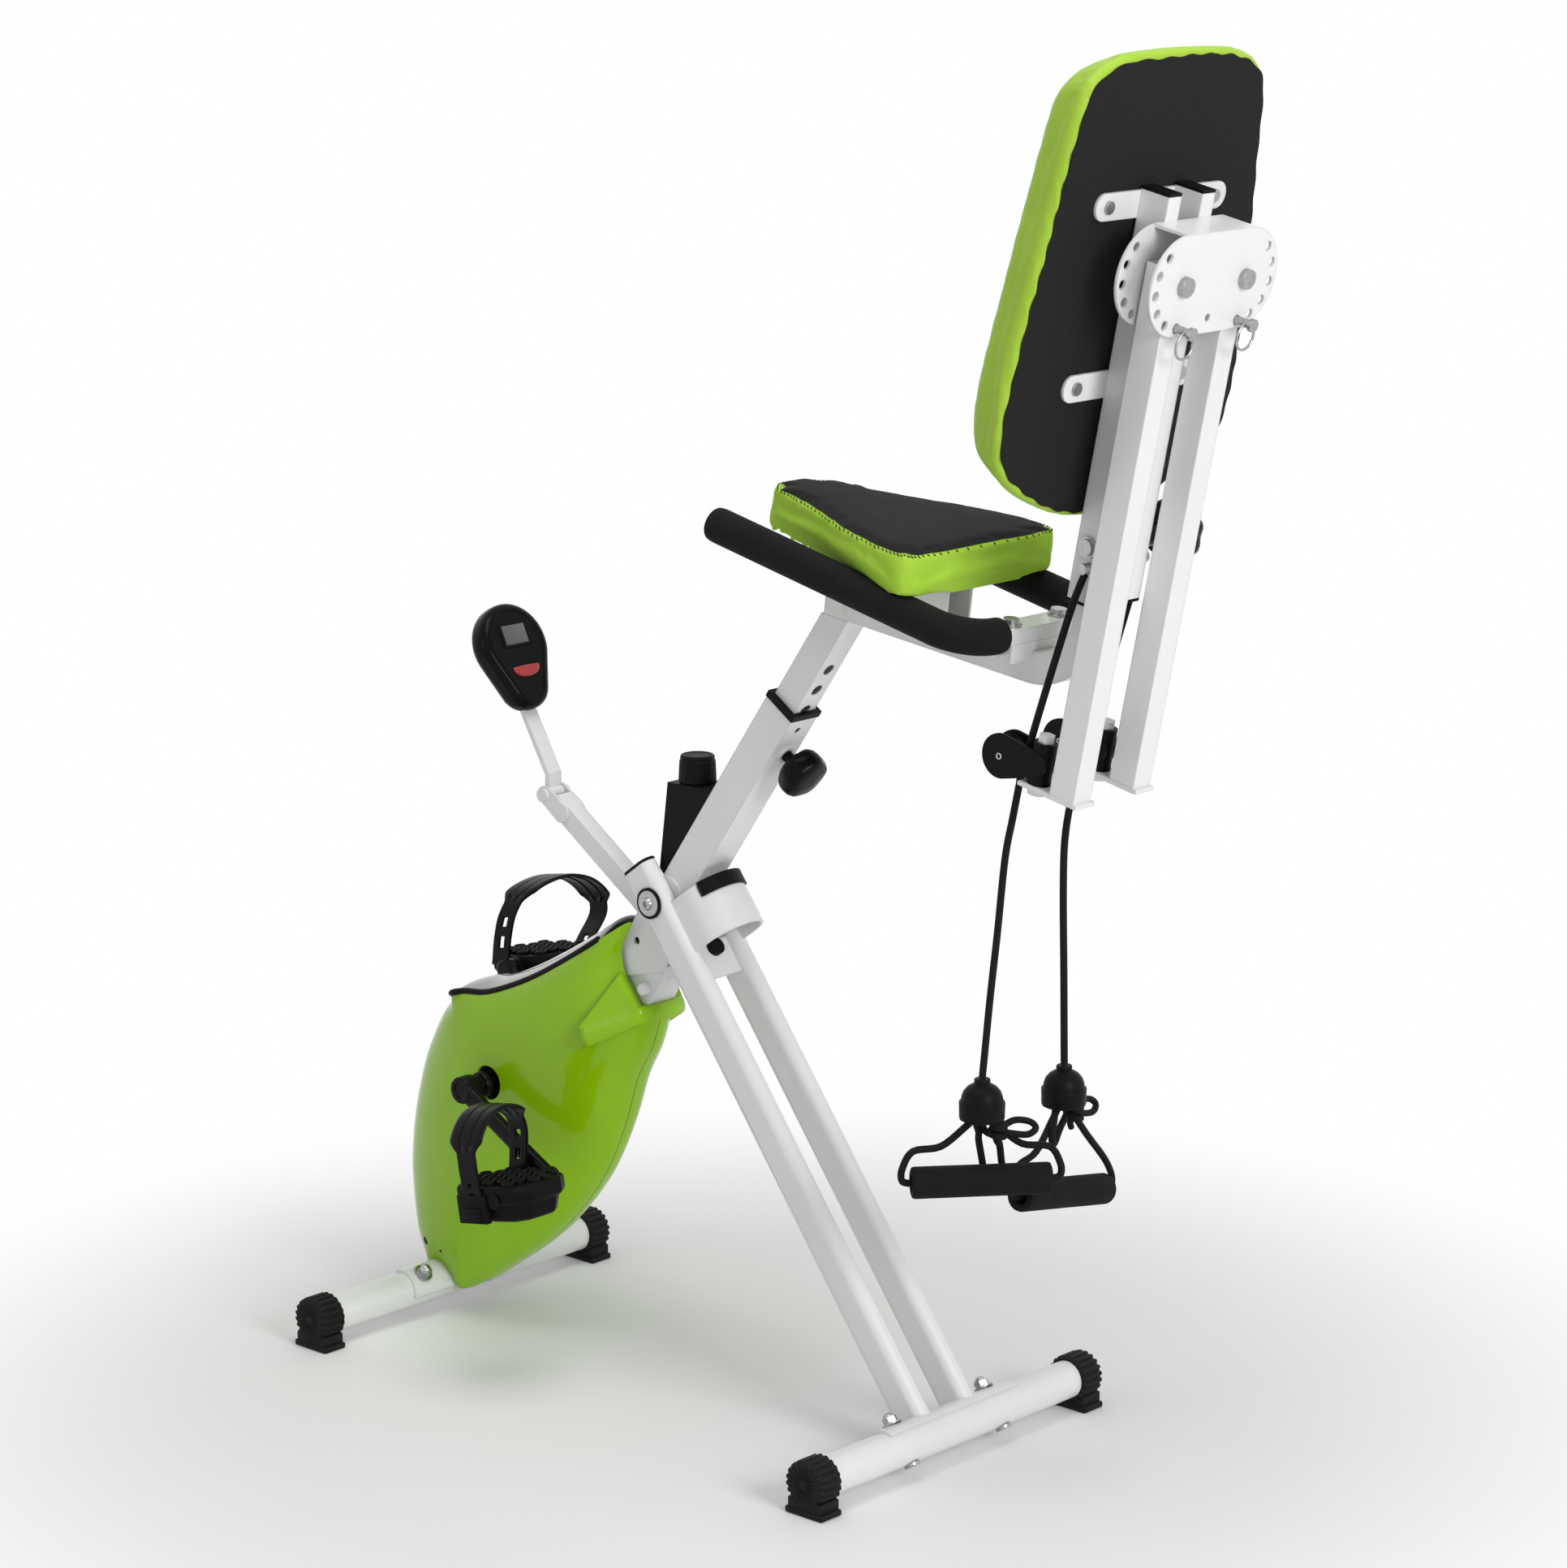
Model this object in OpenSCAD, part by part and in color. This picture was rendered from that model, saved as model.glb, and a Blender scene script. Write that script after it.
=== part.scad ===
// Folding recumbent exercise bike with backrest, swing-out arms and pull cords.
// X runs forward to the pedals, Y to the rider's left, Z up; floor at Z = 0. Sizes in mm.

/* [Stance] */
// Fold pivot ahead of the middle of the machine
pivot_x = 132.8; // [130:0.1:136]
// Height of the fold pivot
pivot_z = 499; // [480:1:520]
// Rear base tube behind the fold pivot
rear_reach = 355; // [335:1:375]
// Front base tube ahead of the fold pivot
front_reach = 330; // [322:1:338]
// Length of both base tubes over their caps
base_len = 420; // [380:5:460]
// Outside width of the base tubes
base_d = 38; // [36:1:40]
// Rear legs aimed ahead of the rear base tube
leg_aim = 8; // [4:1:10]
// Height of the base tube axis over the floor
base_z = 31; // [29:1:33]
// Wall of the steel tubes
tube_wall = 1.5; // [1.2:0.1:2]
// Length of a foot cap
cap_len = 30; // [24:1:36]

/* [Rear leg] */
// Width of one flat oval leg tube
leg_w = 20; // [18:1:22]
// Depth of one flat oval leg tube
leg_d = 40; // [36:1:42]
// Gap between the two leg tubes
leg_gap = 45; // [45:1:50]
// Leg length above the fold pivot
leg_over = 38; // [34:1:44]
// Radius of the fold pivot bolt
pivot_r = 8; // [7:0.5:9]
// Radial play in turning bores
run_gap = 0.05; // [0.03:0.01:0.08]
// Free gap between moving faces
free_gap = 0.4; // [0.3:0.1:0.6]

/* [Frame tubes] */
// Backward lean of the seat tube from upright
seat_lean = 34.8; // [34:0.1:35.6]
// Backward lean of the front tube from upright
front_lean = 31.1; // [30.5:0.1:31.7]
// Width of the square main tubes
main_w = 38; // [38:1:40]
// Seat tube axis behind the fold pivot
axis_off = 2; // [0:1:4]
// Front tube axis behind the fold pivot
front_off = 17; // [15:1:19]
// Seat tube length above the pivot
seat_tube_up = 261; // [255:1:275]
// Front tube length below the pivot down to its kink
kink_down = 140; // [134:1:146]
// Thickness of the gusset plates
gusset_t = 3; // [2.5:0.5:3.5]
// Slope of the console post
post_slope = 34.8; // [33:0.2:37]
// Length of the console post
console_post_len = 161; // [150:1:172]
// Width of the console post
console_post_w = 20; // [18:1:22]

/* [Drive] */
// Crank axis ahead of the fold pivot
crank_reach = 218; // [214:1:222]
// Height of the crank axis
crank_z = 275; // [271:1:279]
// Crank length
crank_len = 140; // [130:1:150]
// Crank angle below level, left side to the rear
crank_angle = 29.2; // [25:0.2:35]
// Radius of the crank axle
axle_r = 10; // [9:0.5:10.5]
// Half width of the drive housing
housing_half = 58; // [56:1:62]
// Wall of the drive housing
housing_wall = 3; // [2.5:0.5:3.5]
// Radius of the flywheel
flywheel_r = 64; // [58:1:66]
// Thickness of the flywheel
flywheel_t = 12; // [10:1:13]
// Radius of the drive pulley
pulley_r = 60; // [54:1:62]
// Pedal width along its axle
pedal_w = 80; // [74:1:86]
// Pedal length
pedal_len = 104; // [96:1:110]
// Pedal thickness
pedal_t = 24; // [22:1:27]
// Height of the strap over the pedal
strap_h = 66; // [60:1:72]

/* [Seat] */
// Width of the square seat post and rail
post_w = 30; // [28:1:31]
// Seat post showing above the seat tube
post_show = 121; // [110:1:130]
// Seat post length below the seat tube top
post_in = 140; // [110:1:160]
// Slope of the seat rail
rail_slope = 7.5; // [6:0.5:9]
// Seat rail from its front end to the bend corner
rail_run = 306; // [300:1:312]
// Bend radius of the seat rail
rail_bend = 60; // [55:1:65]
// Seat underside above the rail axis
seat_rise = 60; // [56:1:64]
// Length of the saddle
seat_len = 257; // [245:1:265]
// Half width of the saddle at the rear
seat_half = 112; // [104:1:118]
// Thickness of the saddle
seat_t = 40; // [36:1:44]
// Handlebar behind the front end of the rail
bar_back = 240; // [236:1:244]
// Half distance between the two grips
grip_half = 95; // [93:1:100]
// Radius of the handlebar tube
bar_r = 11; // [10:0.5:12]
// Radius of the foam grips
foam_r = 17; // [16:0.5:18]
// Rise of the grips toward the front
grip_slope = 13.3; // [12:0.1:14]

/* [Back] */
// Backward lean of the back posts
back_lean = 11.7; // [11:0.1:13]
// Clamp bolt above the bend corner of the rail
clamp_rise = 132; // [126:1:138]
// Length of the back posts
back_post_len = 377; // [370:1:390]
// Width of one back post
back_post_w = 18; // [16:1:20]
// Depth of one back post
back_post_d = 31; // [30:1:33]
// Arm hinge below the top of the posts
hinge_down = 67; // [60:1:74]
// Half distance between the arm hinges
hinge_half = 43.5; // [43:0.5:46]
// Length of an arm below its hinge
arm_len = 484; // [460:1:490]
// Width of an arm
arm_w = 25; // [23:1:26]
// Depth of an arm
arm_d = 28; // [26:1:30]
// Half width of the backrest
back_half = 167; // [150:1:170]
// Height of the backrest
back_h = 425; // [410:1:440]
// Thickness of the backrest
back_t = 60; // [54:1:64]
// Lower end of the backrest above the clamp bolt
back_rise = 19; // [14:1:24]

/* [Cords] */
// Width across a cord
cord_d = 7; // [6:0.5:8]
// Length of a hand grip
hand_len = 130; // [122:1:138]
// Radius of a hand grip
hand_r = 15; // [13:0.5:16]

/* [Hidden] */
$fn = 48;
eps = 0.01;

// Colours of the material families
white = "whitesmoke";
green = "yellowgreen";
black = "dimgray";
steel = "silver";

// Places derived from the sizes above
base_r = base_d / 2;
plate_t = 3;
saddle_r = base_r + plate_t;
rear_x = pivot_x - rear_reach;
front_x = pivot_x + front_reach;
crank_x = pivot_x + crank_reach;
leg_fall = pivot_z - base_z;
leg_lean = atan2(rear_reach - leg_aim, leg_fall);
leg_run = norm([rear_reach - leg_aim, leg_fall]);
leg_y = leg_gap / 2 + leg_w / 2;
leg_out = leg_gap / 2 + leg_w;
main_h = main_w / 2;
gusset_y = main_h + gusset_t;
sleeve_r = pivot_r + 4;
up_s = [-sin(seat_lean), cos(seat_lean)];
out_s = [cos(seat_lean), sin(seat_lean)];
foot_s = [pivot_x, pivot_z] - axis_off * out_s;
up_f = [-sin(front_lean), cos(front_lean)];
foot_f = [pivot_x, pivot_z] - front_off * [cos(front_lean), sin(front_lean)];
kink = foot_f - kink_down * up_f;
strut_run = norm([front_x - kink[0], kink[1] - base_z]);
strut_lean = atan2(front_x - kink[0], kink[1] - base_z);
strut_dn = [sin(strut_lean), -cos(strut_lean)];
strut_fw = [cos(strut_lean), sin(strut_lean)];
crank_from = [crank_x, crank_z] - kink;
crank_along = crank_from * strut_dn;
crank_off = crank_from * strut_fw;
wheel_along = crank_along + 84;
wheel_off = 32;
wheel_c = kink + wheel_along * strut_dn + wheel_off * strut_fw;
wheel_y = gusset_y + 3;
belt_y = wheel_y + flywheel_t + 2;
belt_w = 8;
small_r = 14;
post_top = foot_s + (seat_tube_up + post_show) * up_s;
rail_dir = [cos(rail_slope), sin(rail_slope)];
rail_up = [-sin(rail_slope), cos(rail_slope)];
rail_0 = post_top + 15 * rail_dir + 13 * rail_up;
post_h = post_w / 2;
rail_corner = rail_0 - rail_run * rail_dir;
back_up = [-sin(back_lean), cos(back_lean)];
back_fw = [cos(back_lean), sin(back_lean)];
clamp = rail_corner + clamp_rise * back_up;
bend_turn = 90 - back_lean + rail_slope;
bend_reach = rail_bend * tan(bend_turn / 2);
back_face = post_h - 2;
back_rear = back_face - back_post_d;
back_low = -51;
back_top = back_low + back_post_len;
post_in_y = post_h;
post_out_y = post_in_y + back_post_w;
hinge_u = back_top - hinge_down;
arm_play = 3;
arm_x = back_rear - plate_t - arm_play - arm_d / 2;
hinge_back = arm_x - arm_d / 2 - arm_play;
hinge_r = 46;
hinge_bolt_r = 5;
lock_r = 38;
pin_r = 4;
arm_foot = hinge_u - arm_len;
swivel_x = arm_x + arm_d / 2 + 23;
wheel_x = swivel_x + 40;
wheel_u = arm_foot + 14;
cord_r = cord_d / 2;
cord_gap = 0.9;
pedal_y = 105;
spindle_r = 7;
bar_c = rail_0 - bar_back * rail_dir + (post_h + 17) * rail_up;

// Rim of the drive housing from the crank axis: forward, half width, up
rim = [[84, 42, 76], [55, 42, 84], [13, 42, 90], [-47, 42, 115], [-105, 42, 148], [-152, 42, 178],
  [-183, 36, 199], [-196, 27, 166], [-195, 27, 126], [-187, 27, 98], [-172, 0, 64], [-159, 0, 25],
  [-140, 0, -30], [-111, 0, -88], [-68, 0, -142], [-23, 0, -183], [25, 0, -217], [54, 0, -235],
  [75, 22, -249], [84, 26, -221], [108, 26, -212], [141, 24, -226], [154, 0, -205],
  [159, 0, -141], [156, 0, -95], [147, 0, -48], [131, 0, 8], [104, 0, 56]];
// Half outline of the saddle: part of its length from the nose, part of its half width
seat_side = [[0, 0.1], [0.01, 0.2], [0.06, 0.31], [0.16, 0.37], [0.3, 0.47], [0.46, 0.66],
  [0.62, 0.84], [0.78, 0.96], [0.9, 1], [0.97, 0.95], [1, 0.8], [1.01, 0.4]];
// Half outline of the backrest: part of its height from the top, part of its half width
back_side = [[-0.01, 0.3], [0, 0.5], [0.03, 0.64], [0.09, 0.73], [0.28, 0.84], [0.5, 0.94],
  [0.68, 1], [0.79, 1], [0.87, 0.93], [0.93, 0.72], [0.98, 0.42], [1, 0.15]];

// Smooth point between two of four guide points
function bend_at(a, b, c, d, t) = 0.5 * (2 * b + (c - a) * t + (2 * a - 5 * b + 4 * c - d) * t * t
  + (3 * b - 3 * c + d - a) * t * t * t);
// Closed smooth line through guide points, k steps each
function smooth_loop(p, k) = let (n = len(p)) [for (i = [0 : n - 1], j = [0 : k - 1])
  bend_at(p[(i + n - 1) % n], p[i], p[(i + 1) % n], p[(i + 2) % n], j / k)];
// Open smooth line through guide points, k steps each
function smooth_run(p, k) = let (n = len(p)) concat([for (i = [0 : n - 2], j = [0 : k - 1])
  bend_at(p[max(i - 1, 0)], p[i], p[i + 1], p[min(i + 2, n - 1)], j / k)], [p[n - 1]]);
function unit(v) = v / norm(v);
// Mirrored closed outline from one half
function both_sides(h) = concat(h, [for (i = [len(h) - 1 : -1 : 0]) [h[i][0], -h[i][1]]]);

// Skin over rings of equal point count
module skin(rings, closed = false) {
  n = len(rings[0]);
  m = len(rings);
  last = closed ? m - 1 : m - 2;
  sides = [for (i = [0 : last], j = [0 : n - 1]) let (a = i * n, b = ((i + 1) % m) * n, k = (j + 1) % n)
    each [[a + j, b + j, b + k], [a + j, b + k, a + k]]];
  lids = closed ? [] : [[for (j = [0 : n - 1]) j], [for (j = [n - 1 : -1 : 0]) (m - 1) * n + j]];
  polyhedron([for (r = rings) each r], concat(sides, lids));
}

// Round cord along a smooth route, with square-cut ends
module cord_run(route, k, r, sides = 8) {
  p = smooth_run(route, k);
  n = len(p);
  skin([for (i = [0 : n - 1]) let (t = unit(p[min(i + 1, n - 1)] - p[max(i - 1, 0)]),
    u = unit(cross(t, [1, 0, 0])), v = cross(t, u))
    [for (j = [0 : sides - 1]) p[i] + r * (cos(360 * j / sides) * u + sin(360 * j / sides) * v)]]);
}

// Plain rod along Y between two places
module rod_y(r, y0, y1) {
  translate([0, y1, 0])
    rotate([90, 0, 0])
      cylinder(r = r, h = y1 - y0);
}

// Square tube along Z
module box_tube(x, y, wall, z0, z1) {
  translate([0, 0, z0])
    linear_extrude(z1 - z0)
      difference() {
        square([x, y], center = true);
        square([x - 2 * wall, y - 2 * wall], center = true);
      }
}

// Two discs joined by their outer tangents, second disc at distance d along X
module two_disc(r1, r2, d) {
  s = (r1 - r2) / d;
  c = sqrt(1 - s * s);
  a = r1 - 0.02;
  b = r2 - 0.02;
  circle(r1);
  translate([d, 0])
    circle(r2);
  polygon([[a * s, a * c], [d + b * s, b * c], [d + b * s, -b * c], [a * s, -a * c]]);
}

// The same outline as a block of height h
module two_disc_block(r1, r2, d, h) {
  s = (r1 - r2) / d;
  c = sqrt(1 - s * s);
  a = r1 - 0.02;
  b = r2 - 0.02;
  cylinder(r = r1, h = h);
  translate([d, 0, 0])
    cylinder(r = r2, h = h);
  linear_extrude(h)
    polygon([[a * s, a * c], [d + b * s, b * c], [d + b * s, -b * c], [a * s, -a * c]]);
}

// Flat plate in the XZ plane between two places of Y
module plate_y(y0, y1) {
  translate([0, y1, 0])
    rotate([90, 0, 0])
      linear_extrude(y1 - y0)
        children();
}

// Local places: leg, seat tube, front strut, seat rail, back
module on_leg() {
  translate([pivot_x, 0, pivot_z])
    rotate([0, leg_lean, 0])
      children();
}

module on_seat_tube() {
  translate([foot_s[0], 0, foot_s[1]])
    rotate([0, -seat_lean, 0])
      children();
}

module on_front_tube() {
  translate([foot_f[0], 0, foot_f[1]])
    rotate([0, -front_lean, 0])
      children();
}

module on_strut() {
  translate([kink[0], 0, kink[1]])
    rotate([0, -strut_lean, 0])
      children();
}

module on_rail() {
  translate([rail_0[0], 0, rail_0[1]])
    rotate([0, -rail_slope, 0])
      children();
}

module on_back() {
  translate([clamp[0], 0, clamp[1]])
    rotate([0, -back_lean, 0])
      children();
}

module on_crank() {
  translate([crank_x, 0, crank_z])
    children();
}

module on_console() {
  on_seat_tube()
    translate([main_h, 0, -37])
      rotate([0, seat_lean - post_slope, 0])
        translate([console_post_len + 11, 0, 0])
          rotate([0, post_slope, 0])
            children();
}

// Shared shapes of like pieces
front_bolt_y = 62;
rear_bolt_y = 68;
bolt_r = 4;

module base_tube(bolt_y, tilt) {
  difference() {
    rod_y(base_r, 4 - base_len / 2, base_len / 2 - 4);
    rod_y(base_r - tube_wall, -base_len / 2, base_len / 2);
    rotate([0, tilt, 0])
      for (s = [-1, 1])
        translate([0, s * bolt_y, -base_d])
          cylinder(r = bolt_r, h = 2 * base_d);
  }
}

module foot_cap() {
  difference() {
    union() {
      rod_y(base_r + 3, base_len / 2 - cap_len, base_len / 2);
      for (a = [-60 : 30 : 240])
        rotate([0, a - 90, 0])
          translate([base_r + 3, 0, 0])
            rod_y(2, base_len / 2 - cap_len, base_len / 2 - 3, $fn = 16);
      translate([-23, base_len / 2 - cap_len, -base_z])
        cube([46, cap_len, 14]);
    }
    rod_y(base_r, 0, base_len / 2 - 4);
  }
}

module feet() {
  foot_cap();
  mirror([0, 1, 0])
    foot_cap();
}

module saddle(half, bolt_y) {
  difference() {
    intersection() {
      rod_y(saddle_r, -half, half);
      translate([-base_d, -half, saddle_r * 0.45])
        cube([2 * base_d, 2 * half, base_d]);
    }
    rod_y(base_r, -half - 1, half + 1);
    for (s = [-1, 1])
      translate([0, s * bolt_y, 0])
        cylinder(r = bolt_r, h = base_d);
  }
}

// Carriage bolt up through a base tube with washer and acorn nut
module base_bolt() {
  translate([0, 0, -base_r - 3])
    cylinder(r = bolt_r, h = 2 * base_r + 3 + plate_t + 4);
  translate([0, 0, -base_r - 3])
    cylinder(r = 8, h = 3);
  translate([0, 0, saddle_r])
    cylinder(r = 10, h = 2);
  translate([0, 0, saddle_r + 2])
    cylinder(r = 7.5, h = 6, $fn = 6);
  translate([0, 0, saddle_r + 6])
    sphere(r = 6.5, $fn = 32);
}

module stadium(long, wide) {
  translate([wide / 2 - long / 2, 0])
    two_disc(wide / 2, wide / 2, long - wide);
}

module stadium_block(long, wide, h) {
  translate([wide / 2 - long / 2, 0, 0])
    two_disc_block(wide / 2, wide / 2, long - wide, h);
}

module front_base() {
  color(white)
    translate([front_x, 0, base_z])
      base_tube(front_bolt_y, -strut_lean);
}

module rear_base() {
  color(white)
    translate([rear_x, 0, base_z])
      base_tube(rear_bolt_y, leg_lean);
}

module front_feet() {
  color(black)
    translate([front_x, 0, base_z])
      feet();
}

module rear_feet() {
  color(black)
    translate([rear_x, 0, base_z])
      feet();
}

// Front half of the main frame
module gusset() {
  difference() {
    union() {
      translate([front_off, 0])
        circle(24);
      polygon([[main_h, -104], [main_h + 19, -89], [front_off + 23, 0], [front_off - 23, 0],
        [-main_h, -30], [-main_h, -67]]);
    }
    translate([main_h + 6, -62])
      circle(4);
  }
}

brake_at = wheel_along + 72;
brake_pin = kink + brake_at * strut_dn;

module front_frame() {
  color(white)
    difference() {
      union() {
        on_front_tube() {
          box_tube(main_w, main_w, tube_wall, -kink_down, -60);
          plate_y(main_h, gusset_y)
            gusset();
          plate_y(-gusset_y, -main_h)
            gusset();
          translate([front_off, 0, 0])
            rod_y(sleeve_r, -gusset_y, gusset_y);
          for (s = [-1, 1])
            translate([-9, s * (main_h + 4), -97])
              rotate([90, 0, 0])
                cylinder(r = 6, h = 8, center = true);
        }
        translate([kink[0], 0, kink[1]])
          rotate([0, -(front_lean + strut_lean) / 2, 0])
            cube([main_w + 2, main_w + 2, 8], center = true);
        difference() {
          on_strut()
            box_tube(main_w, main_w, tube_wall, 6 - strut_run, 0);
          translate([front_x, 0, base_z])
            rod_y(base_r, -base_d, base_d);
        }
        translate([front_x, 0, base_z])
          rotate([0, -strut_lean, 0])
            saddle(80, front_bolt_y);
        on_crank()
          rod_y(20, -24, 24);
        on_strut()
          translate([main_h - 1, -12, -crank_along - 18])
            cube([crank_off - main_h - 8, 24, 36]);
        on_strut()
          plate_y(-gusset_y, -main_h)
            translate([0, -wheel_along])
              two_disc(16, 12, wheel_off);
        translate([wheel_c[0], 0, wheel_c[1]]) {
          rod_y(6, -belt_y - belt_w - 4.5, -main_h - 1);
          rod_y(10, -wheel_y + free_gap, -main_h - 1);
        }
        translate([brake_pin[0], 0, brake_pin[1]])
          rod_y(4, -wheel_y - flywheel_t - 3, -main_h + 1);
      }
      on_crank()
        rod_y(16, -30, 30);
      translate([pivot_x, 0, pivot_z])
        rod_y(pivot_r + run_gap, -30, 30);
    }
}

pin_z = seat_tube_up - 45;
knob_pin_r = 6;

module seat_tube() {
  color(white)
    on_seat_tube()
      difference() {
        union() {
          box_tube(main_w, main_w, tube_wall, -50, seat_tube_up);
          translate([-main_h - 3.5, 0, pin_z])
            rotate([0, 90, 0])
              cylinder(r = 9.5, h = 4);
        }
        translate([axis_off, 0, 0])
          rod_y(sleeve_r, -main_w, main_w);
        translate([-main_h - 5, 0, pin_z])
          rotate([0, 90, 0])
            cylinder(r = knob_pin_r + run_gap, h = 10);
        translate([-main_h - 1, 0, pin_z + 30])
          rotate([0, 90, 0])
            cylinder(r = 3.5, h = 6);
      }
}

module seat_collar() {
  bore = post_w + 2 * free_gap;
  color(black)
    on_seat_tube()
      difference() {
        union() {
          translate([0, 0, seat_tube_up - 16])
            cube([main_w - 2 * tube_wall, main_w - 2 * tube_wall, 46], center = true);
          translate([0, 0, seat_tube_up + 3.5])
            cube([main_w + 2, main_w + 2, 7], center = true);
        }
        translate([0, 0, seat_tube_up])
          cube([bore, bore, 120], center = true);
      }
}

// Tension box on the front of the seat tube, with the knob stub on its level top
tension_at = [main_h + 30.4, 112];

module tension_box() {
  color(black)
    on_seat_tube() {
      plate_y(-19, 19)
        polygon([[main_h, 18], [main_h + 8, 20], [main_h + 49, 99], [main_h, 133.1]]);
      translate([tension_at[0], 0, tension_at[1]])
        rotate([0, seat_lean, 0])
          translate([0, 0, -4])
            cylinder(r = 5, h = 20);
    }
}

module tension_knob() {
  color(black)
    on_seat_tube()
      translate([tension_at[0], 0, tension_at[1]])
        rotate([0, seat_lean, 0])
          translate([0, 0, free_gap])
            difference() {
              rotate_extrude()
                polygon([[0, 0], [17.5, 0], [18.5, 3], [17, 26], [14, 28], [0, 28]]);
              translate([0, 0, -1])
                cylinder(r = 5 + run_gap, h = 19);
            }
}

// Drive housing: rings from the rim in to the hub hole, outside then inside
hub_hole = 26;
rim_line = smooth_loop(rim, 3);
rim_n = len(rim_line);
// Mean of the rim round each of its points, for the calmer inner rings
rim_soft = [for (i = [0 : rim_n - 1]) [for (k = [0 : 2]) let (v = [for (j = [-7 : 7])
  rim_line[(i + j + rim_n) % rim_n][k]]) v * [for (j = [-7 : 7]) 1 / 15]]];
function rim_ring(s, half, in) = let (t = min(1, 3 * s)) [for (i = [0 : rim_n - 1]) let (
  p = rim_line[i] * (1 - t) + rim_soft[i] * t, l = norm([p[0], p[2]]), w = max(0, min(42, p[1])),
  r = (l - in) * (1 - s) + hub_hole * s, f = pow(1 - pow(1 - s, 2.7), 1 / 2.7))
  [p[0] * r / l, -w - (half - w) * f, p[2] * r / l]];
ring_steps = [0, 0.012, 0.04, 0.09, 0.17, 0.3, 0.55, 1];

module shell() {
  skin(concat([for (s = ring_steps) rim_ring(s, housing_half, 0)],
    [for (i = [len(ring_steps) - 1 : -1 : 0])
      rim_ring(ring_steps[i], housing_half - housing_wall, housing_wall)]), true);
}

module right_shell() {
  color(green)
    on_crank()
      shell();
}

module left_shell() {
  color(green)
    on_crank()
      mirror([0, 1, 0])
        shell();
}

// Grey panel between the top edges of the two shells
module top_cover() {
  top = smooth_run([for (i = [0 : 5]) [rim[i][0], rim[i][2] - 1.5]], 3);
  n = len(top);
  low = [for (i = [n - 1 : -1 : 0]) top[i] - [0, 3.5]];
  color(black)
    on_crank()
      plate_y(-42, 42)
        polygon(concat(top, low));
}

module crank_bearings() {
  color(steel)
    on_crank()
      for (s = [-19, 19])
        translate([0, s, 0])
          difference() {
            rod_y(16, -5, 5);
            rod_y(axle_r + run_gap, -6, 6);
          }
}

module crank_set() {
  color(black)
    on_crank()
      rotate([0, -crank_angle, 0]) {
        rod_y(axle_r, -66, 66);
        for (s = [0, 180])
          rotate([0, 0, s]) {
            rod_y(17, 62, pedal_y - 7);
            plate_y(pedal_y - 21, pedal_y - 7)
              rotate([0, 0, 180])
                two_disc(15, 12, crank_len);
            translate([-crank_len, 0, 0])
              rod_y(spindle_r, pedal_y - 8, pedal_y + pedal_w - 8);
          }
      }
}

module drive_pulley() {
  color(black)
    on_crank()
      difference() {
        rod_y(pulley_r, -belt_y - belt_w, -belt_y);
        difference() {
          rod_y(pulley_r - 8, -belt_y - 3, -belt_y + 1);
          rod_y(20, -belt_y - 4, -belt_y + 2);
        }
        difference() {
          rod_y(pulley_r - 8, -belt_y - belt_w - 1, -belt_y - belt_w + 3);
          rod_y(20, -belt_y - belt_w - 2, -belt_y - belt_w + 4);
        }
        for (a = [0 : 60 : 300])
          rotate([0, a, 0])
            translate([pulley_r - 24, 0, 0])
              rod_y(9, -belt_y - belt_w - 1, -belt_y + 1);
        rod_y(axle_r, -belt_y - belt_w - 1, -belt_y + 1);
      }
}

module flywheel() {
  color(steel)
    translate([wheel_c[0], 0, wheel_c[1]])
      difference() {
        union() {
          rod_y(flywheel_r, -wheel_y - flywheel_t, -wheel_y);
          rod_y(small_r, -belt_y - belt_w, -wheel_y);
        }
        difference() {
          rod_y(flywheel_r - 14, -wheel_y - flywheel_t - 1, -wheel_y - flywheel_t + 3);
          rod_y(small_r + 6, -wheel_y - flywheel_t - 2, -wheel_y);
        }
        rod_y(6 + run_gap, -belt_y - belt_w - 1, 0);
      }
}

module drive_belt() {
  v = wheel_c - [crank_x, crank_z];
  color(black)
    on_crank()
      translate([0, -belt_y - 1, 0])
        rotate([90, 0, 0])
          rotate([0, 0, atan2(v[1], v[0])])
            difference() {
              two_disc_block(pulley_r + 2.3, small_r + 2.3, norm(v), belt_w - 2);
              translate([0, 0, -1])
                two_disc_block(pulley_r + 0.3, small_r + 0.3, norm(v), belt_w);
            }
}

// Magnet shoe round the front of the flywheel, hinged on a pin of the strut
module brake_shoe() {
  v = brake_pin - wheel_c;
  a = atan2(v[1], v[0]);
  d = norm(v);
  color(steel)
    translate([wheel_c[0], 0, wheel_c[1]])
      plate_y(-wheel_y - flywheel_t, -wheel_y)
        rotate([0, 0, a])
          difference() {
            union() {
              intersection() {
                difference() {
                  circle(flywheel_r + 13);
                  circle(flywheel_r + 4);
                }
                polygon([[0, 0], [150, 0], [150, 150], [0, 90]]);
              }
              translate([d, 0])
                circle(9);
            }
            circle(flywheel_r + 4);
            translate([d, 0])
              circle(4 + run_gap);
          }
}

// Pedals and their straps, drawn for the left side at the crank end
module at_pedal(side) {
  reach = side * crank_len;
  translate([crank_x - reach * cos(crank_angle), 0, crank_z - reach * sin(crank_angle)])
    rotate([0, 10, 0])
      children();
}

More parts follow.
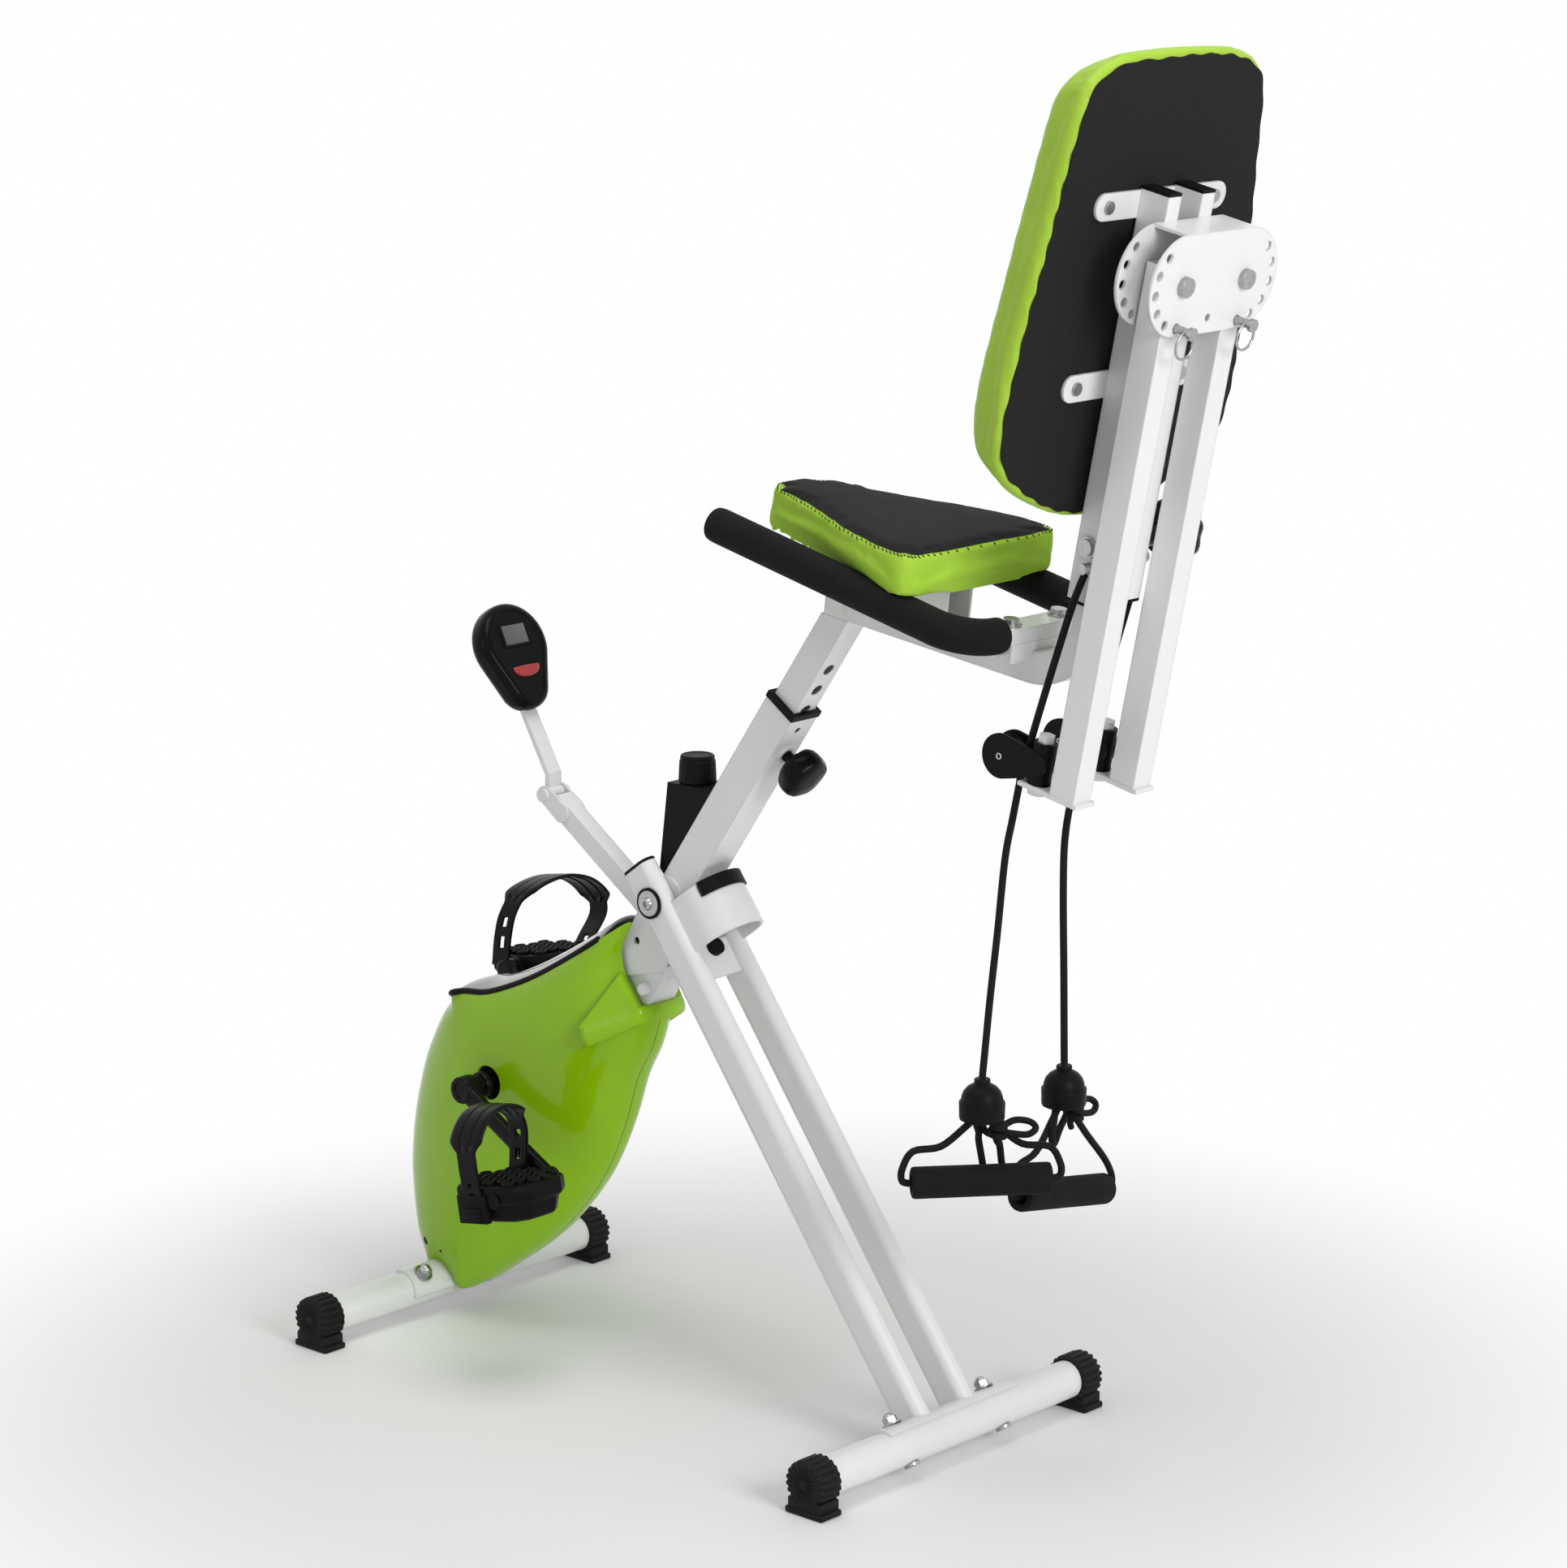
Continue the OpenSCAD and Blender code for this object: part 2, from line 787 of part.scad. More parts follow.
module pedal() {
  mid = pedal_y + pedal_w / 2;
  difference() {
    union() {
      translate([0, mid, 0])
        cube([pedal_len, pedal_w, pedal_t], center = true);
      for (x = [-1, 1], i = [0 : 3])
        translate([x * (pedal_len / 2 - 6 - 9 * i), mid, pedal_t / 2])
          cube([4, pedal_w - 16, 4], center = true);
    }
    for (x = [-1, 1], y = [-1, 1])
      translate([x * 32, mid + y * 19, 0])
        cube([12, 24, pedal_t + 20], center = true);
    rod_y(spindle_r + run_gap, pedal_y - 1, pedal_y + pedal_w - 5);
  }
}

// Middle line of the strap from its inner to its outer foot: across, up
left_line = [[-0.5, -0.12], [-0.5, 0.3], [-0.45, 0.66], [-0.26, 0.93], [0.08, 1.03], [0.4, 0.92],
  [0.61, 0.62], [0.63, 0.34], [0.53, 0.06], [0.5, -0.12]];
right_line = [[-0.5, -0.12], [-0.5, 0.3], [-0.44, 0.66], [-0.22, 0.94], [0.16, 1.04], [0.5, 0.94],
  [0.7, 0.66], [0.72, 0.36], [0.56, 0.06], [0.5, -0.12]];

module strap(line) {
  p = smooth_run([for (q = line) [q[0] * (pedal_w + 3), pedal_t / 2 + q[1] * (strap_h - 1.5)]], 3);
  n = len(p);
  side = [for (i = [0 : n - 1]) let (t = unit(p[min(i + 1, n - 1)] - p[max(i - 1, 0)])) 1.5 * [-t[1], t[0]]];
  edge = concat([for (i = [0 : n - 1]) p[i] + side[i]], [for (i = [n - 1 : -1 : 0]) p[i] - side[i]]);
  translate([6, pedal_y + pedal_w / 2, 0])
    rotate([90, 0, 90])
      linear_extrude(34)
        polygon(edge);
}

module left_pedal() {
  color(black)
    at_pedal(1)
      pedal();
}

module left_strap() {
  color(black)
    at_pedal(1)
      strap(left_line);
}

module right_pedal() {
  color(black)
    at_pedal(-1)
      mirror([0, 1, 0])
        pedal();
}

module right_strap() {
  color(black)
    at_pedal(-1)
      mirror([0, 1, 0])
        strap(right_line);
}

module frame_fasteners() {
  color(steel) {
    for (s = [-1, 1])
      translate([front_x, s * front_bolt_y, base_z])
        rotate([0, -strut_lean, 0])
          base_bolt();
    translate([wheel_c[0], 0, wheel_c[1]])
      difference() {
        rod_y(9, -belt_y - belt_w - 4, -belt_y - belt_w - free_gap);
        rod_y(6, -belt_y - belt_w - 5, -belt_y);
      }
  }
}

// Console post, its clevis and the hinge bolt
clevis_r = 9;
hinge_pin_r = 4;

module console_post() {
  w = console_post_w / 2;
  color(white)
    difference() {
      on_seat_tube()
        translate([main_h, 0, -37])
          rotate([0, seat_lean - post_slope, 0])
            difference() {
              union() {
                rotate([0, 90, 0])
                  box_tube(console_post_w, console_post_w, tube_wall, -12, console_post_len);
                for (s = [-1, 1])
                  translate([0, s * (w + 1.5), 0])
                    rotate([90, 0, 0])
                      translate([0, 0, -1.5])
                        linear_extrude(3)
                          translate([console_post_len - 16, 0])
                            two_disc(w, clevis_r, 27);
                translate([console_post_len + 11, 0, 0]) {
                  rod_y(hinge_pin_r, -w - 3, w + 3);
                  rod_y(7, w + 3, w + 7);
                  rod_y(6, -w - 8, -w - 3);
                }
              }
            }
      on_seat_tube()
        cube([main_w, main_w, 400], center = true);
    }
}

// Console: bent stem, teardrop case, window and button
stem_lean = 30;
console_tilt = 25.7;

module stem_bar() {
  translate([-2.5, -console_post_w / 2 + 1, 0])
    cube([5, console_post_w - 2, 22]);
  translate([0, 0, 20])
    rotate([0, stem_lean, 0])
      translate([-2.5, -console_post_w / 2 + 1, -1])
        cube([5, console_post_w - 2, 74]);
}

module on_case() {
  on_console()
    translate([54.5, 0, 129])
      rotate([0, console_tilt, 0])
        children();
}

module console_stem() {
  color(white)
    on_console()
      difference() {
        union() {
          rod_y(7.5, 0.5 - console_post_w / 2, console_post_w / 2 - 0.5);
          stem_bar();
        }
        rod_y(hinge_pin_r + run_gap, -30, 30);
      }
}

// Slab on the console, standing in its YZ plane between two depths
module case_slab(x0, x1) {
  translate([x0, 0, 0])
    rotate([90, 0, 90])
      linear_extrude(x1 - x0)
        children();
}

module console_case() {
  color(black)
    difference() {
      on_case()
        difference() {
          union() {
            case_slab(-11, 11)
              translate([0, 16])
                rotate([0, 0, -90])
                  two_disc(43, 27, 42);
            case_slab(-14, 14)
              translate([0, 16])
                rotate([0, 0, -90])
                  two_disc(39, 23, 42);
          }
          translate([-15, -22, 12])
            cube([3, 44, 26]);
          case_slab(-15, -6)
            translate([0, -14])
              stadium(36 + 2 * free_gap, 12 + 2 * free_gap);
        }
      on_console()
        stem_bar();
    }
}

module console_lens() {
  color("lightgray")
    on_case()
      translate([-14, -22, 12])
        cube([2, 44, 26]);
}

module console_button() {
  color("firebrick")
    on_case()
      translate([-15.5, 0, -14])
        rotate([90, 0, 90])
          stadium_block(36, 12, 6.5);
}

// Folding rear leg
module stop_outline(r) {
  translate([-38, 0])
    circle(r);
  translate([-38, -r])
    square([38 - 15, 2 * r]);
}

module rear_leg_frame() {
  u = leg_y + 3;
  color(white)
    difference() {
      union() {
        difference() {
          on_leg()
            for (s = [-1, 1])
              translate([0, s * leg_y, 12 - leg_run])
                linear_extrude(leg_run - 12 + leg_over)
                  difference() {
                    stadium(leg_d, leg_w);
                    stadium(leg_d - 2 * tube_wall, leg_w - 2 * tube_wall);
                  }
          translate([rear_x, 0, base_z])
            rod_y(base_r, -base_len, base_len);
        }
        translate([rear_x, 0, base_z])
          rotate([0, leg_lean, 0])
            saddle(95, rear_bolt_y);
        on_leg() {
          translate([0, 0, -66])
            linear_extrude(56)
              difference() {
                stop_outline(u);
                stop_outline(u - plate_t);
                translate([-16, -u])
                  square([60, 2 * u]);
              }
          translate([-10, -leg_gap / 2 - 1, -94])
            cube([4, leg_gap + 2, 38]);
          for (s = [-1, 1])
            translate([0, s * leg_y, 0])
              rod_y(12, -leg_w / 2, leg_w / 2);
        }
      }
      on_leg() {
        translate([-130, -u - 1, -24])
          cube([75, 2 * u + 2, 40]);
        translate([-12, 0, -64])
          rotate([0, 90, 0])
            cylinder(r = 6, h = 10);
      }
      translate([pivot_x, 0, pivot_z])
        rod_y(pivot_r, -leg_out - 1, leg_out + 1);
    }
}

module leg_plastics() {
  u = leg_y + 3;
  color(black) {
    on_leg()
      for (s = [-1, 1]) {
        translate([0, s * leg_y, leg_over])
          linear_extrude(3)
            stadium(leg_d, leg_w);
        difference() {
          translate([0, s * (leg_out + 1), 0])
            rod_y(15, -1, 1);
          rod_y(pivot_r, -leg_out - 3, leg_out + 3);
        }
      }
    difference() {
      on_leg()
        difference() {
          translate([0, 0, -24])
            linear_extrude(15)
              intersection() {
                difference() {
                  stop_outline(u + 2);
                  stop_outline(u - 20);
                }
                translate([-100, -u - 3])
                  square([42, 2 * u + 6]);
              }
        }
      on_seat_tube()
        cube([main_w + 2 * free_gap, main_w + 2 * free_gap, 400], center = true);
    }
    on_leg()
      translate([-16, 0, -64])
        rotate([0, 90, 0]) {
          cylinder(r = 6, h = 15);
          cylinder(r = 9, h = 6);
        }
  }
}

module pivot_bolt() {
  color(steel)
    translate([pivot_x, 0, pivot_z]) {
      rod_y(pivot_r, -leg_out - 5, leg_out + 5);
      for (s = [-1, 1])
        translate([0, s * (leg_out + 3), 0])
          rod_y(15, -1, 1);
      for (s = [-1, 1])
        translate([0, s * (leg_out + 6), 0])
          rod_y(10, -2, 2);
    }
}

module leg_fasteners() {
  color(steel)
    for (s = [-1, 1])
      translate([rear_x, s * rear_bolt_y, base_z])
        rotate([0, leg_lean, 0])
          base_bolt();
}

// Sliding seat
module seat_post() {
  color(white)
    difference() {
      on_seat_tube()
        difference() {
          box_tube(post_w, post_w, tube_wall, seat_tube_up - post_in, seat_tube_up + post_show + 30);
          for (k = [-2 : 4])
            translate([-post_w, 0, pin_z + 26.5 * k])
              rotate([0, 90, 0])
                cylinder(r = knob_pin_r + free_gap, h = post_w);
        }
      on_rail()
        translate([-200, -post_w, -post_h])
          cube([400, 2 * post_w, 200]);
    }
}

// Bent rail: points of one side at radius r round the bend, with both ends lengthened by more
rail_straight = rail_run - bend_reach;
rail_rear = clamp_rise - bend_reach + 40;
function rail_arc(r, t) = [-rail_straight - r * sin(t), rail_bend - r * cos(t)];
function rail_side(r, more) = concat([[more, rail_bend - r]],
  [for (i = [0 : 16]) rail_arc(r, bend_turn * i / 16)],
  [rail_arc(r, bend_turn) + (rail_rear + more) * [-cos(bend_turn), sin(bend_turn)]]);

module rail_body(half, more) {
  near = rail_side(rail_bend - half, more);
  far = rail_side(rail_bend + half, more);
  plate_y(-half, half)
    polygon(concat(far, [for (i = [len(near) - 1 : -1 : 0]) near[i]]));
}

module seat_rail() {
  color(white)
    difference() {
      on_rail()
        rail_body(post_h, 0);
      on_rail()
        rail_body(post_h - tube_wall, 1);
      on_back()
        rod_y(hinge_bolt_r, -post_w, post_w);
    }
}

module seat_bracket() {
  color(white)
    on_rail() {
      for (s = [-1, 1])
        translate([-150, s * (post_h + 1.5) - 1.5, -8])
          cube([120, 3, seat_rise + 8]);
      translate([-165, -45, seat_rise - 3])
        cube([150, 90, 3]);
      translate([-bar_back, 0, post_h])
        difference() {
          translate([-13, -45, -8])
            cube([26, 90, 18]);
          translate([-10, -46, -9])
            cube([20, 92, 16]);
          translate([-14, -post_h, -9])
            cube([28, post_w, 9.1]);
          for (s = [-1, 1])
            translate([0, s * 34, 0])
              cylinder(r = bolt_r, h = 20);
        }
    }
}

// Padded saddle, drawn in below so the grips stay clear
seat_line = smooth_loop(both_sides(seat_side), 2);
seat_steps = [[0.3, 1, 0], [0.97, 0.78, 0], [0.985, 0.81, 0.04], [0.99, 0.89, 0.25], [1, 0.97, 0.5],
  [1, 1, 0.72], [0.985, 1, 0.85], [0.93, 1, 0.92], [0.78, 1, 0.97], [0.5, 1, 1], [0.2, 1, 1.01]];
// Ring of the saddle: scale, draw-in beside the grips, height
function seat_ring(k, w, z) = [for (p = seat_line) let (x = 78 - p[0] * seat_len, c = 78 - 0.62 * seat_len,
  d = sin(180 * max(0, min(1, (p[0] - 0.3) / 0.66))), q = k * (1 - (1 - w) * d))
  [c + (x - c) * k, p[1] * seat_half * q, seat_rise + z * seat_t]];

module seat_cushion() {
  color(green)
    on_rail()
      skin([for (s = seat_steps) seat_ring(s[0], s[1], s[2])]);
}

// Handlebar with two raised grips
bar_bend = 40;
bar_len = 310;

module on_bar() {
  translate([bar_c[0], 0, bar_c[1]])
    rotate([0, -grip_slope, 0])
      children();
}

// Round ring of the handlebar tube
module bar_ring() {
  difference() {
    circle(bar_r);
    circle(bar_r - tube_wall);
  }
}

module handlebar() {
  reach = grip_half - bar_bend;
  color(white) {
    on_bar()
      for (s = [0, 1])
        mirror([0, s, 0]) {
          translate([bar_bend, reach, 0])
            rotate([0, 0, 90])
              rotate_extrude(angle = 90)
                translate([bar_bend, 0])
                  bar_ring();
          translate([bar_bend, grip_half, 0])
            rotate([0, 90, 0])
              linear_extrude(bar_len - bar_bend)
                bar_ring();
          translate([0, reach, 0])
            rotate([90, 0, 0])
              linear_extrude(reach - 47)
                bar_ring();
        }
    on_rail()
      translate([-bar_back, 0, post_h + 10])
        difference() {
          translate([-13, -48, 0])
            cube([26, 96, 14]);
          for (s = [-1, 1])
            translate([0, s * 34, -1])
              cylinder(r = bolt_r, h = 20);
        }
  }
}

module handlebar_foam() {
  color(black)
    on_bar()
      for (s = [-1, 1])
        translate([0, s * grip_half, 0])
          rotate([0, 90, 0])
            difference() {
              union() {
                translate([0, 0, 62])
                  cylinder(r = foam_r, h = bar_len - 56);
                translate([0, 0, bar_len])
                  cylinder(r = foam_r - 3, h = 10);
              }
              translate([0, 0, 60])
                cylinder(r = bar_r, h = bar_len - 60);
            }
}

module back_posts() {
  y = (post_in_y + post_out_y) / 2;
  color(white)
    on_back()
      for (s = [-1, 1])
        difference() {
          translate([(back_face + back_rear) / 2, s * y, 0])
            box_tube(back_post_d, back_post_w, tube_wall, back_low, back_top);
          rod_y(hinge_bolt_r, -60, 60);
        }
}

module post_caps() {
  y = (post_in_y + post_out_y) / 2;
  color(black)
    on_back()
      for (s = [-1, 1], z = [back_low - 3, back_top])
        translate([(back_face + back_rear) / 2, s * y, z + 1.5])
          cube([back_post_d, back_post_w, 3], center = true);
}

// Slab on the back, standing in its YZ plane between two depths
module back_slab(x0, x1) {
  translate([x0, 0, 0])
    rotate([90, 0, 90])
      linear_extrude(x1 - x0)
        children();
}

strip_u = [back_top - 14, back_top - 178];

module back_strips() {
  color(white)
    on_back()
      for (u = strip_u)
        translate([back_face, 0, u])
          rotate([90, 0, 90])
            difference() {
              stadium_block(184, 25, plate_t);
              for (s = [-1, 1])
                translate([s * 75, 0, -1])
                  cylinder(r = 3, h = plate_t + 2);
            }
}

// Padded backrest
back_line = smooth_loop(both_sides(back_side), 2);
back_steps = [[0.3, 0], [0.98, 0], [1, 0.05], [1, 0.2], [0.985, 0.45], [0.955, 0.7], [0.91, 0.85],
  [0.82, 0.94], [0.6, 0.99], [0.25, 1]];
function back_ring(k, d) = [for (p = back_line) let (z = -p[0] * back_h, c = -0.55 * back_h)
  [back_face + plate_t + d * back_t, -p[1] * back_half * k, back_rise + back_h + c + (z - c) * k]];

module back_cushion() {
  color(green)
    on_back()
      skin([for (s = back_steps) back_ring(s[0], s[1])]);
}

// Hinge bracket of the two arms
module hinge_plate() {
  difference() {
    translate([-hinge_half, hinge_u])
      two_disc(hinge_r, hinge_r, 2 * hinge_half);
    for (s = [-1, 1])
      translate([s * hinge_half, hinge_u]) {
        circle(hinge_bolt_r);
        for (a = [0 : 27 : 135])
          rotate([0, 0, s * a])
            translate([0, -lock_r])
              circle(pin_r + free_gap);
      }
    translate([0, hinge_u - 32])
      circle(3.5);
  }
}

module hinge_bracket() {
  color(white)
    on_back() {
      back_slab(back_rear - plate_t, back_rear)
        hinge_plate();
      back_slab(hinge_back - plate_t, hinge_back)
        hinge_plate();
      translate([hinge_back - plate_t, -50, hinge_u + hinge_r - plate_t])
        cube([back_rear - hinge_back + plate_t, 100, plate_t]);
    }
}

clip_x = -7;
clip_u = -17;

module seat_fasteners() {
  out = hinge_back - plate_t;
  color(steel)
    on_back() {
      for (s = [-1, 1])
        translate([0, s * hinge_half, hinge_u])
          rotate([0, 90, 0]) {
            translate([0, 0, out - 5])
              cylinder(r = hinge_bolt_r, h = back_rear - out + 11);
            translate([0, 0, out - 6])
              cylinder(r = 9, h = 6);
            translate([0, 0, back_rear])
              cylinder(r = 8, h = 6, $fn = 6);
          }
      rod_y(hinge_bolt_r, -68, post_out_y + 4);
      rod_y(10, post_out_y, post_out_y + 2);
      rod_y(8, post_out_y + 2, post_out_y + 6);
      for (u = strip_u, s = [-1, 1])
        translate([back_face - 2.5, s * 75, u])
          rotate([0, 90, 0]) {
            cylinder(r = 6, h = 2.5);
            cylinder(r = 3, h = 2.5 + plate_t);
          }
      for (s = [0, 1])
        mirror([0, s, 0])
          translate([clip_x, 0, clip_u])
            rod_y(5, post_out_y, post_out_y + 13);
    }
  color(steel)
    on_rail()
      for (s = [-1, 1])
        translate([-bar_back, s * 34, post_h]) {
          translate([0, 0, 3])
            cylinder(r = bolt_r, h = 24);
          translate([0, 0, 24])
            cylinder(r = 10, h = 2);
          translate([0, 0, 26])
            cylinder(r = 7.5, h = 5);
        }
}

// Hand knobs
module lobed(r, n) {
  circle(r - 4);
  for (a = [0 : 360 / n : 359])
    rotate(a)
      translate([r - 7, 0])
        circle(7);
}

module pull_knob() {
  color(black)
    on_seat_tube()
      translate([0, 0, pin_z])
        rotate([0, -90, 0]) {
          translate([0, 0, main_h - 1])
            cylinder(r = knob_pin_r, h = 17);
          translate([0, 0, main_h + 12])
            cylinder(r = 12, h = 5);
          translate([0, 0, main_h + 16])
            linear_extrude(24)
              lobed(25, 5);
        }
}

module back_knob() {
  color(black)
    on_back()
      difference() {
        union() {
          rod_y(10, -78, -post_out_y - free_gap);
          rod_y(14, -78, -72);
          plate_y(-104, -77)
            lobed(23.5, 7);
        }
        rod_y(hinge_bolt_r + run_gap, -70, 0);
      }
}

// Swing-out arms, drawn for the left side
module arm() {
  difference() {
    union() {
      translate([arm_x, hinge_half, 0]) {
        box_tube(arm_d, arm_w, tube_wall, arm_foot, hinge_u + 14);
        translate([0, 0, hinge_u])
          rotate([0, 90, 0])
            cylinder(r = 9, h = arm_d, center = true);
        translate([-arm_d / 2 - 4, -arm_w / 2 - 1, arm_foot - 4])
          cube([swivel_x - arm_x + arm_d / 2 + 18, arm_w + 2, 4]);
      }
      translate([swivel_x, hinge_half, arm_foot - 10])
        cylinder(r = 9, h = 6);
      translate([swivel_x, hinge_half, arm_foot - 4])
        cylinder(r = hinge_bolt_r, h = 48);
      translate([swivel_x, hinge_half, arm_foot + 40])
        cylinder(r = 8, h = 7, $fn = 6);
    }
    translate([0, hinge_half, hinge_u])
      rotate([0, 90, 0])
        cylinder(r = hinge_bolt_r + run_gap, h = 200, center = true);
    translate([arm_x - arm_d, hinge_half, hinge_u - lock_r])
      rotate([0, 90, 0])
        cylinder(r = pin_r + free_gap, h = arm_d);
  }
}

// Pulley block clamped on the arm foot, open to the cord between its cheeks
module pulley_block() {
  drop = wheel_u - arm_foot - 20;
  translate([0, hinge_half, 0])
    difference() {
      union() {
        translate([swivel_x, 0, arm_foot])
          cylinder(r = 11, h = 40);
        for (y = [-12, 9])
          plate_y(y, y + 3)
            translate([wheel_x, wheel_u])
              rotate([0, 0, atan2(-drop, swivel_x - wheel_x)])
                two_disc(21, 12, norm([drop, wheel_x - swivel_x]));
        translate([wheel_x, 0, wheel_u])
          rod_y(3, -13, 13);
      }
      translate([swivel_x, 0, arm_foot - 1])
        cylinder(r = hinge_bolt_r, h = 42);
    }
}

module pulley_wheel() {
  translate([wheel_x, hinge_half, wheel_u])
    rotate([90, 0, 0])
      rotate_extrude()
        polygon([[3 + run_gap, -8], [18, -8], [18, -6], [14.5, -2], [14.5, 2], [18, 6], [18, 8],
          [3 + run_gap, 8]]);
}

// Lock pin drawn back into its plate, with a pull ring
module lock_pin() {
  translate([hinge_back, hinge_half, hinge_u - lock_r])
    rotate([0, -90, 0]) {
      translate([0, 0, 0.5])
        cylinder(r = pin_r, h = 20);
      translate([0, 0, 19])
        cylinder(r = 6, h = 4);
      translate([-12, 0, 15.5])
        rotate_extrude()
          translate([12, 0])
            circle(1.2, $fn = 16);
    }
}

module left_arm() {
  color(white)
    on_back()
      arm();
}

module right_arm() {
  color(white)
    on_back()
      mirror([0, 1, 0])
        arm();
}

module left_pulley_block() {
  color(black)
    on_back()
      pulley_block();
}

module right_pulley_block() {
  color(black)
    on_back()
      mirror([0, 1, 0])
        pulley_block();
}

module left_pulley_wheel() {
  color(black)
    on_back()
      pulley_wheel();
}

module right_pulley_wheel() {
  color(black)
    on_back()
      mirror([0, 1, 0])
        pulley_wheel();
}

module left_lock_pin() {
  color(steel)
    on_back()
      lock_pin();
}

module right_lock_pin() {
  color(steel)
    on_back()
      mirror([0, 1, 0])
        lock_pin();
}

// Pull cords: upper run from the clip through the block, lower run to the handle
exit_x = wheel_x - 18.5;
exit_u = arm_foot - 7;
exit = clamp + exit_x * back_fw + exit_u * back_up;
left_drop = [[0, 0, -cord_gap], [5.3, 2.7, -33.8], [10.4, 6.8, -71.5], [13.7, 12.6, -140.9],
  [15, 20.4, -200.4], [15.1, 26.5, -246], [15.4, 30.2, -275.8]];
right_drop = [[0, 0, -cord_gap], [10, -1, -32], [17, -1, -72], [18, -1, -122], [16, -1, -200], [14, -1, -288]];
left_end = left_drop[6];
right_end = right_drop[5];

module cord_upper() {
  cord_run([[clip_x, 40, clip_u - 5.5], [-2, 42.5, clip_u - 34], [6, 43.5, clip_u - 94],
    [exit_x - 6, hinge_half, exit_u + 56], [exit_x, hinge_half, exit_u]], 2, cord_r);
}

module left_cord_upper() {
  color(black)
    on_back()
      cord_upper();
}

module right_cord_upper() {
  color(black)
    on_back()
      mirror([0, 1, 0])
        cord_upper();
}

module left_cord_lower() {
  color(black)
    translate([exit[0], hinge_half, exit[1]])
      cord_run(left_drop, 2, cord_r);
}

module right_cord_lower() {
  color(black)
    translate([exit[0], -hinge_half, exit[1]])
      cord_run(right_drop, 2, cord_r);
}

// Handle: stop ball, rope triangle and foam grip
module handle(drop, yaw) {
  e = hand_len / 2;
  rotate_extrude()
    polygon([[0, 0], [7, 0], [8, -6], [15, -9], [20, -16], [21.5, -24], [20, -33], [15, -39], [0, -40]]);
  rotate([0, 0, yaw]) {
    translate([0, 0, -drop]) {
      rod_y(hand_r, -e, e);
      rod_y(hand_r - 5, -e - 6, e + 6);
    }
    for (s = [-1, 1])
      cord_run([[0, s * 3, -36], [0, s * (e * 0.45), -36 - (drop - 36) * 0.4],
        [0, s * (e + 8), 20 - drop], [0, s * (e + 4), -drop]], 3, cord_r);
  }
}

module left_handle() {
  color(black)
    translate([exit[0] + left_end[0], hinge_half + left_end[1], exit[1] + left_end[2] - cord_gap])
      handle(98, -40.5);
}

module right_handle() {
  color(black)
    translate([exit[0] + right_end[0], -hinge_half + right_end[1], exit[1] + right_end[2] - cord_gap])
      handle(125, 0);
}

front_base();
front_feet();
front_frame();
seat_tube();
seat_collar();
tension_box();
left_shell();
right_shell();
top_cover();
crank_bearings();
drive_belt();
frame_fasteners();
console_post();
brake_shoe();
rear_leg_frame();
leg_plastics();
rear_base();
rear_feet();
pivot_bolt();
leg_fasteners();
console_stem();
console_case();
console_lens();
console_button();
tension_knob();
seat_post();
seat_rail();
seat_bracket();
seat_cushion();
handlebar();
handlebar_foam();
back_posts();
post_caps();
back_strips();
back_cushion();
hinge_bracket();
seat_fasteners();
pull_knob();
back_knob();
crank_set();
drive_pulley();
left_pedal();
left_strap();
right_pedal();
right_strap();
flywheel();
left_arm();
right_arm();
left_pulley_block();
right_pulley_block();
left_pulley_wheel();
right_pulley_wheel();
left_lock_pin();
right_lock_pin();
left_handle();
right_handle();
left_cord_upper();
right_cord_upper();
left_cord_lower();
right_cord_lower();
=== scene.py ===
"""Folding recumbent exercise bike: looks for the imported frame, built up piece by piece."""
from math import asin, cos, hypot, pi, radians, sin, tan

import bmesh
import bpy
from mathutils import Matrix, Vector
from mathutils.bvhtree import BVHTree


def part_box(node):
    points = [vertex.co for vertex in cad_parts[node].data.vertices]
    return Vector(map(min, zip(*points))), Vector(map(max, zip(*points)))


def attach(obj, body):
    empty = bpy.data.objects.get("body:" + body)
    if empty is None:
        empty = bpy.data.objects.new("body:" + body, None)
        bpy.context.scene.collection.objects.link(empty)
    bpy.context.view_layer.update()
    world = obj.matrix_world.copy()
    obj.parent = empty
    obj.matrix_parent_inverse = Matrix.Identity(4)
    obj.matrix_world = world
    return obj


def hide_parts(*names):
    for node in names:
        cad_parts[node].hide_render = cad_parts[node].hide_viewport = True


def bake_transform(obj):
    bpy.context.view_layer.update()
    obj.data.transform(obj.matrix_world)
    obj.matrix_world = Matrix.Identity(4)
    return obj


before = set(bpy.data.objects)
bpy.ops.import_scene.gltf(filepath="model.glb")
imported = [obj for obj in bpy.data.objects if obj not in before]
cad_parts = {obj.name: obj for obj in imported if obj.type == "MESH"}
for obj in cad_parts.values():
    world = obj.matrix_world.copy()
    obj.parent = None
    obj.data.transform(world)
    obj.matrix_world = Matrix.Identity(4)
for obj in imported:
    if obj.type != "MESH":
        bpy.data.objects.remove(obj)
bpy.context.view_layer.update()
scene = bpy.context.scene

# Studio: a pale floor that keeps the shadow near the feet and fades to white further out,
# a white room, three soft lamps and the camera, all in the frame of the machine.
scene.view_settings.view_transform = "Standard"


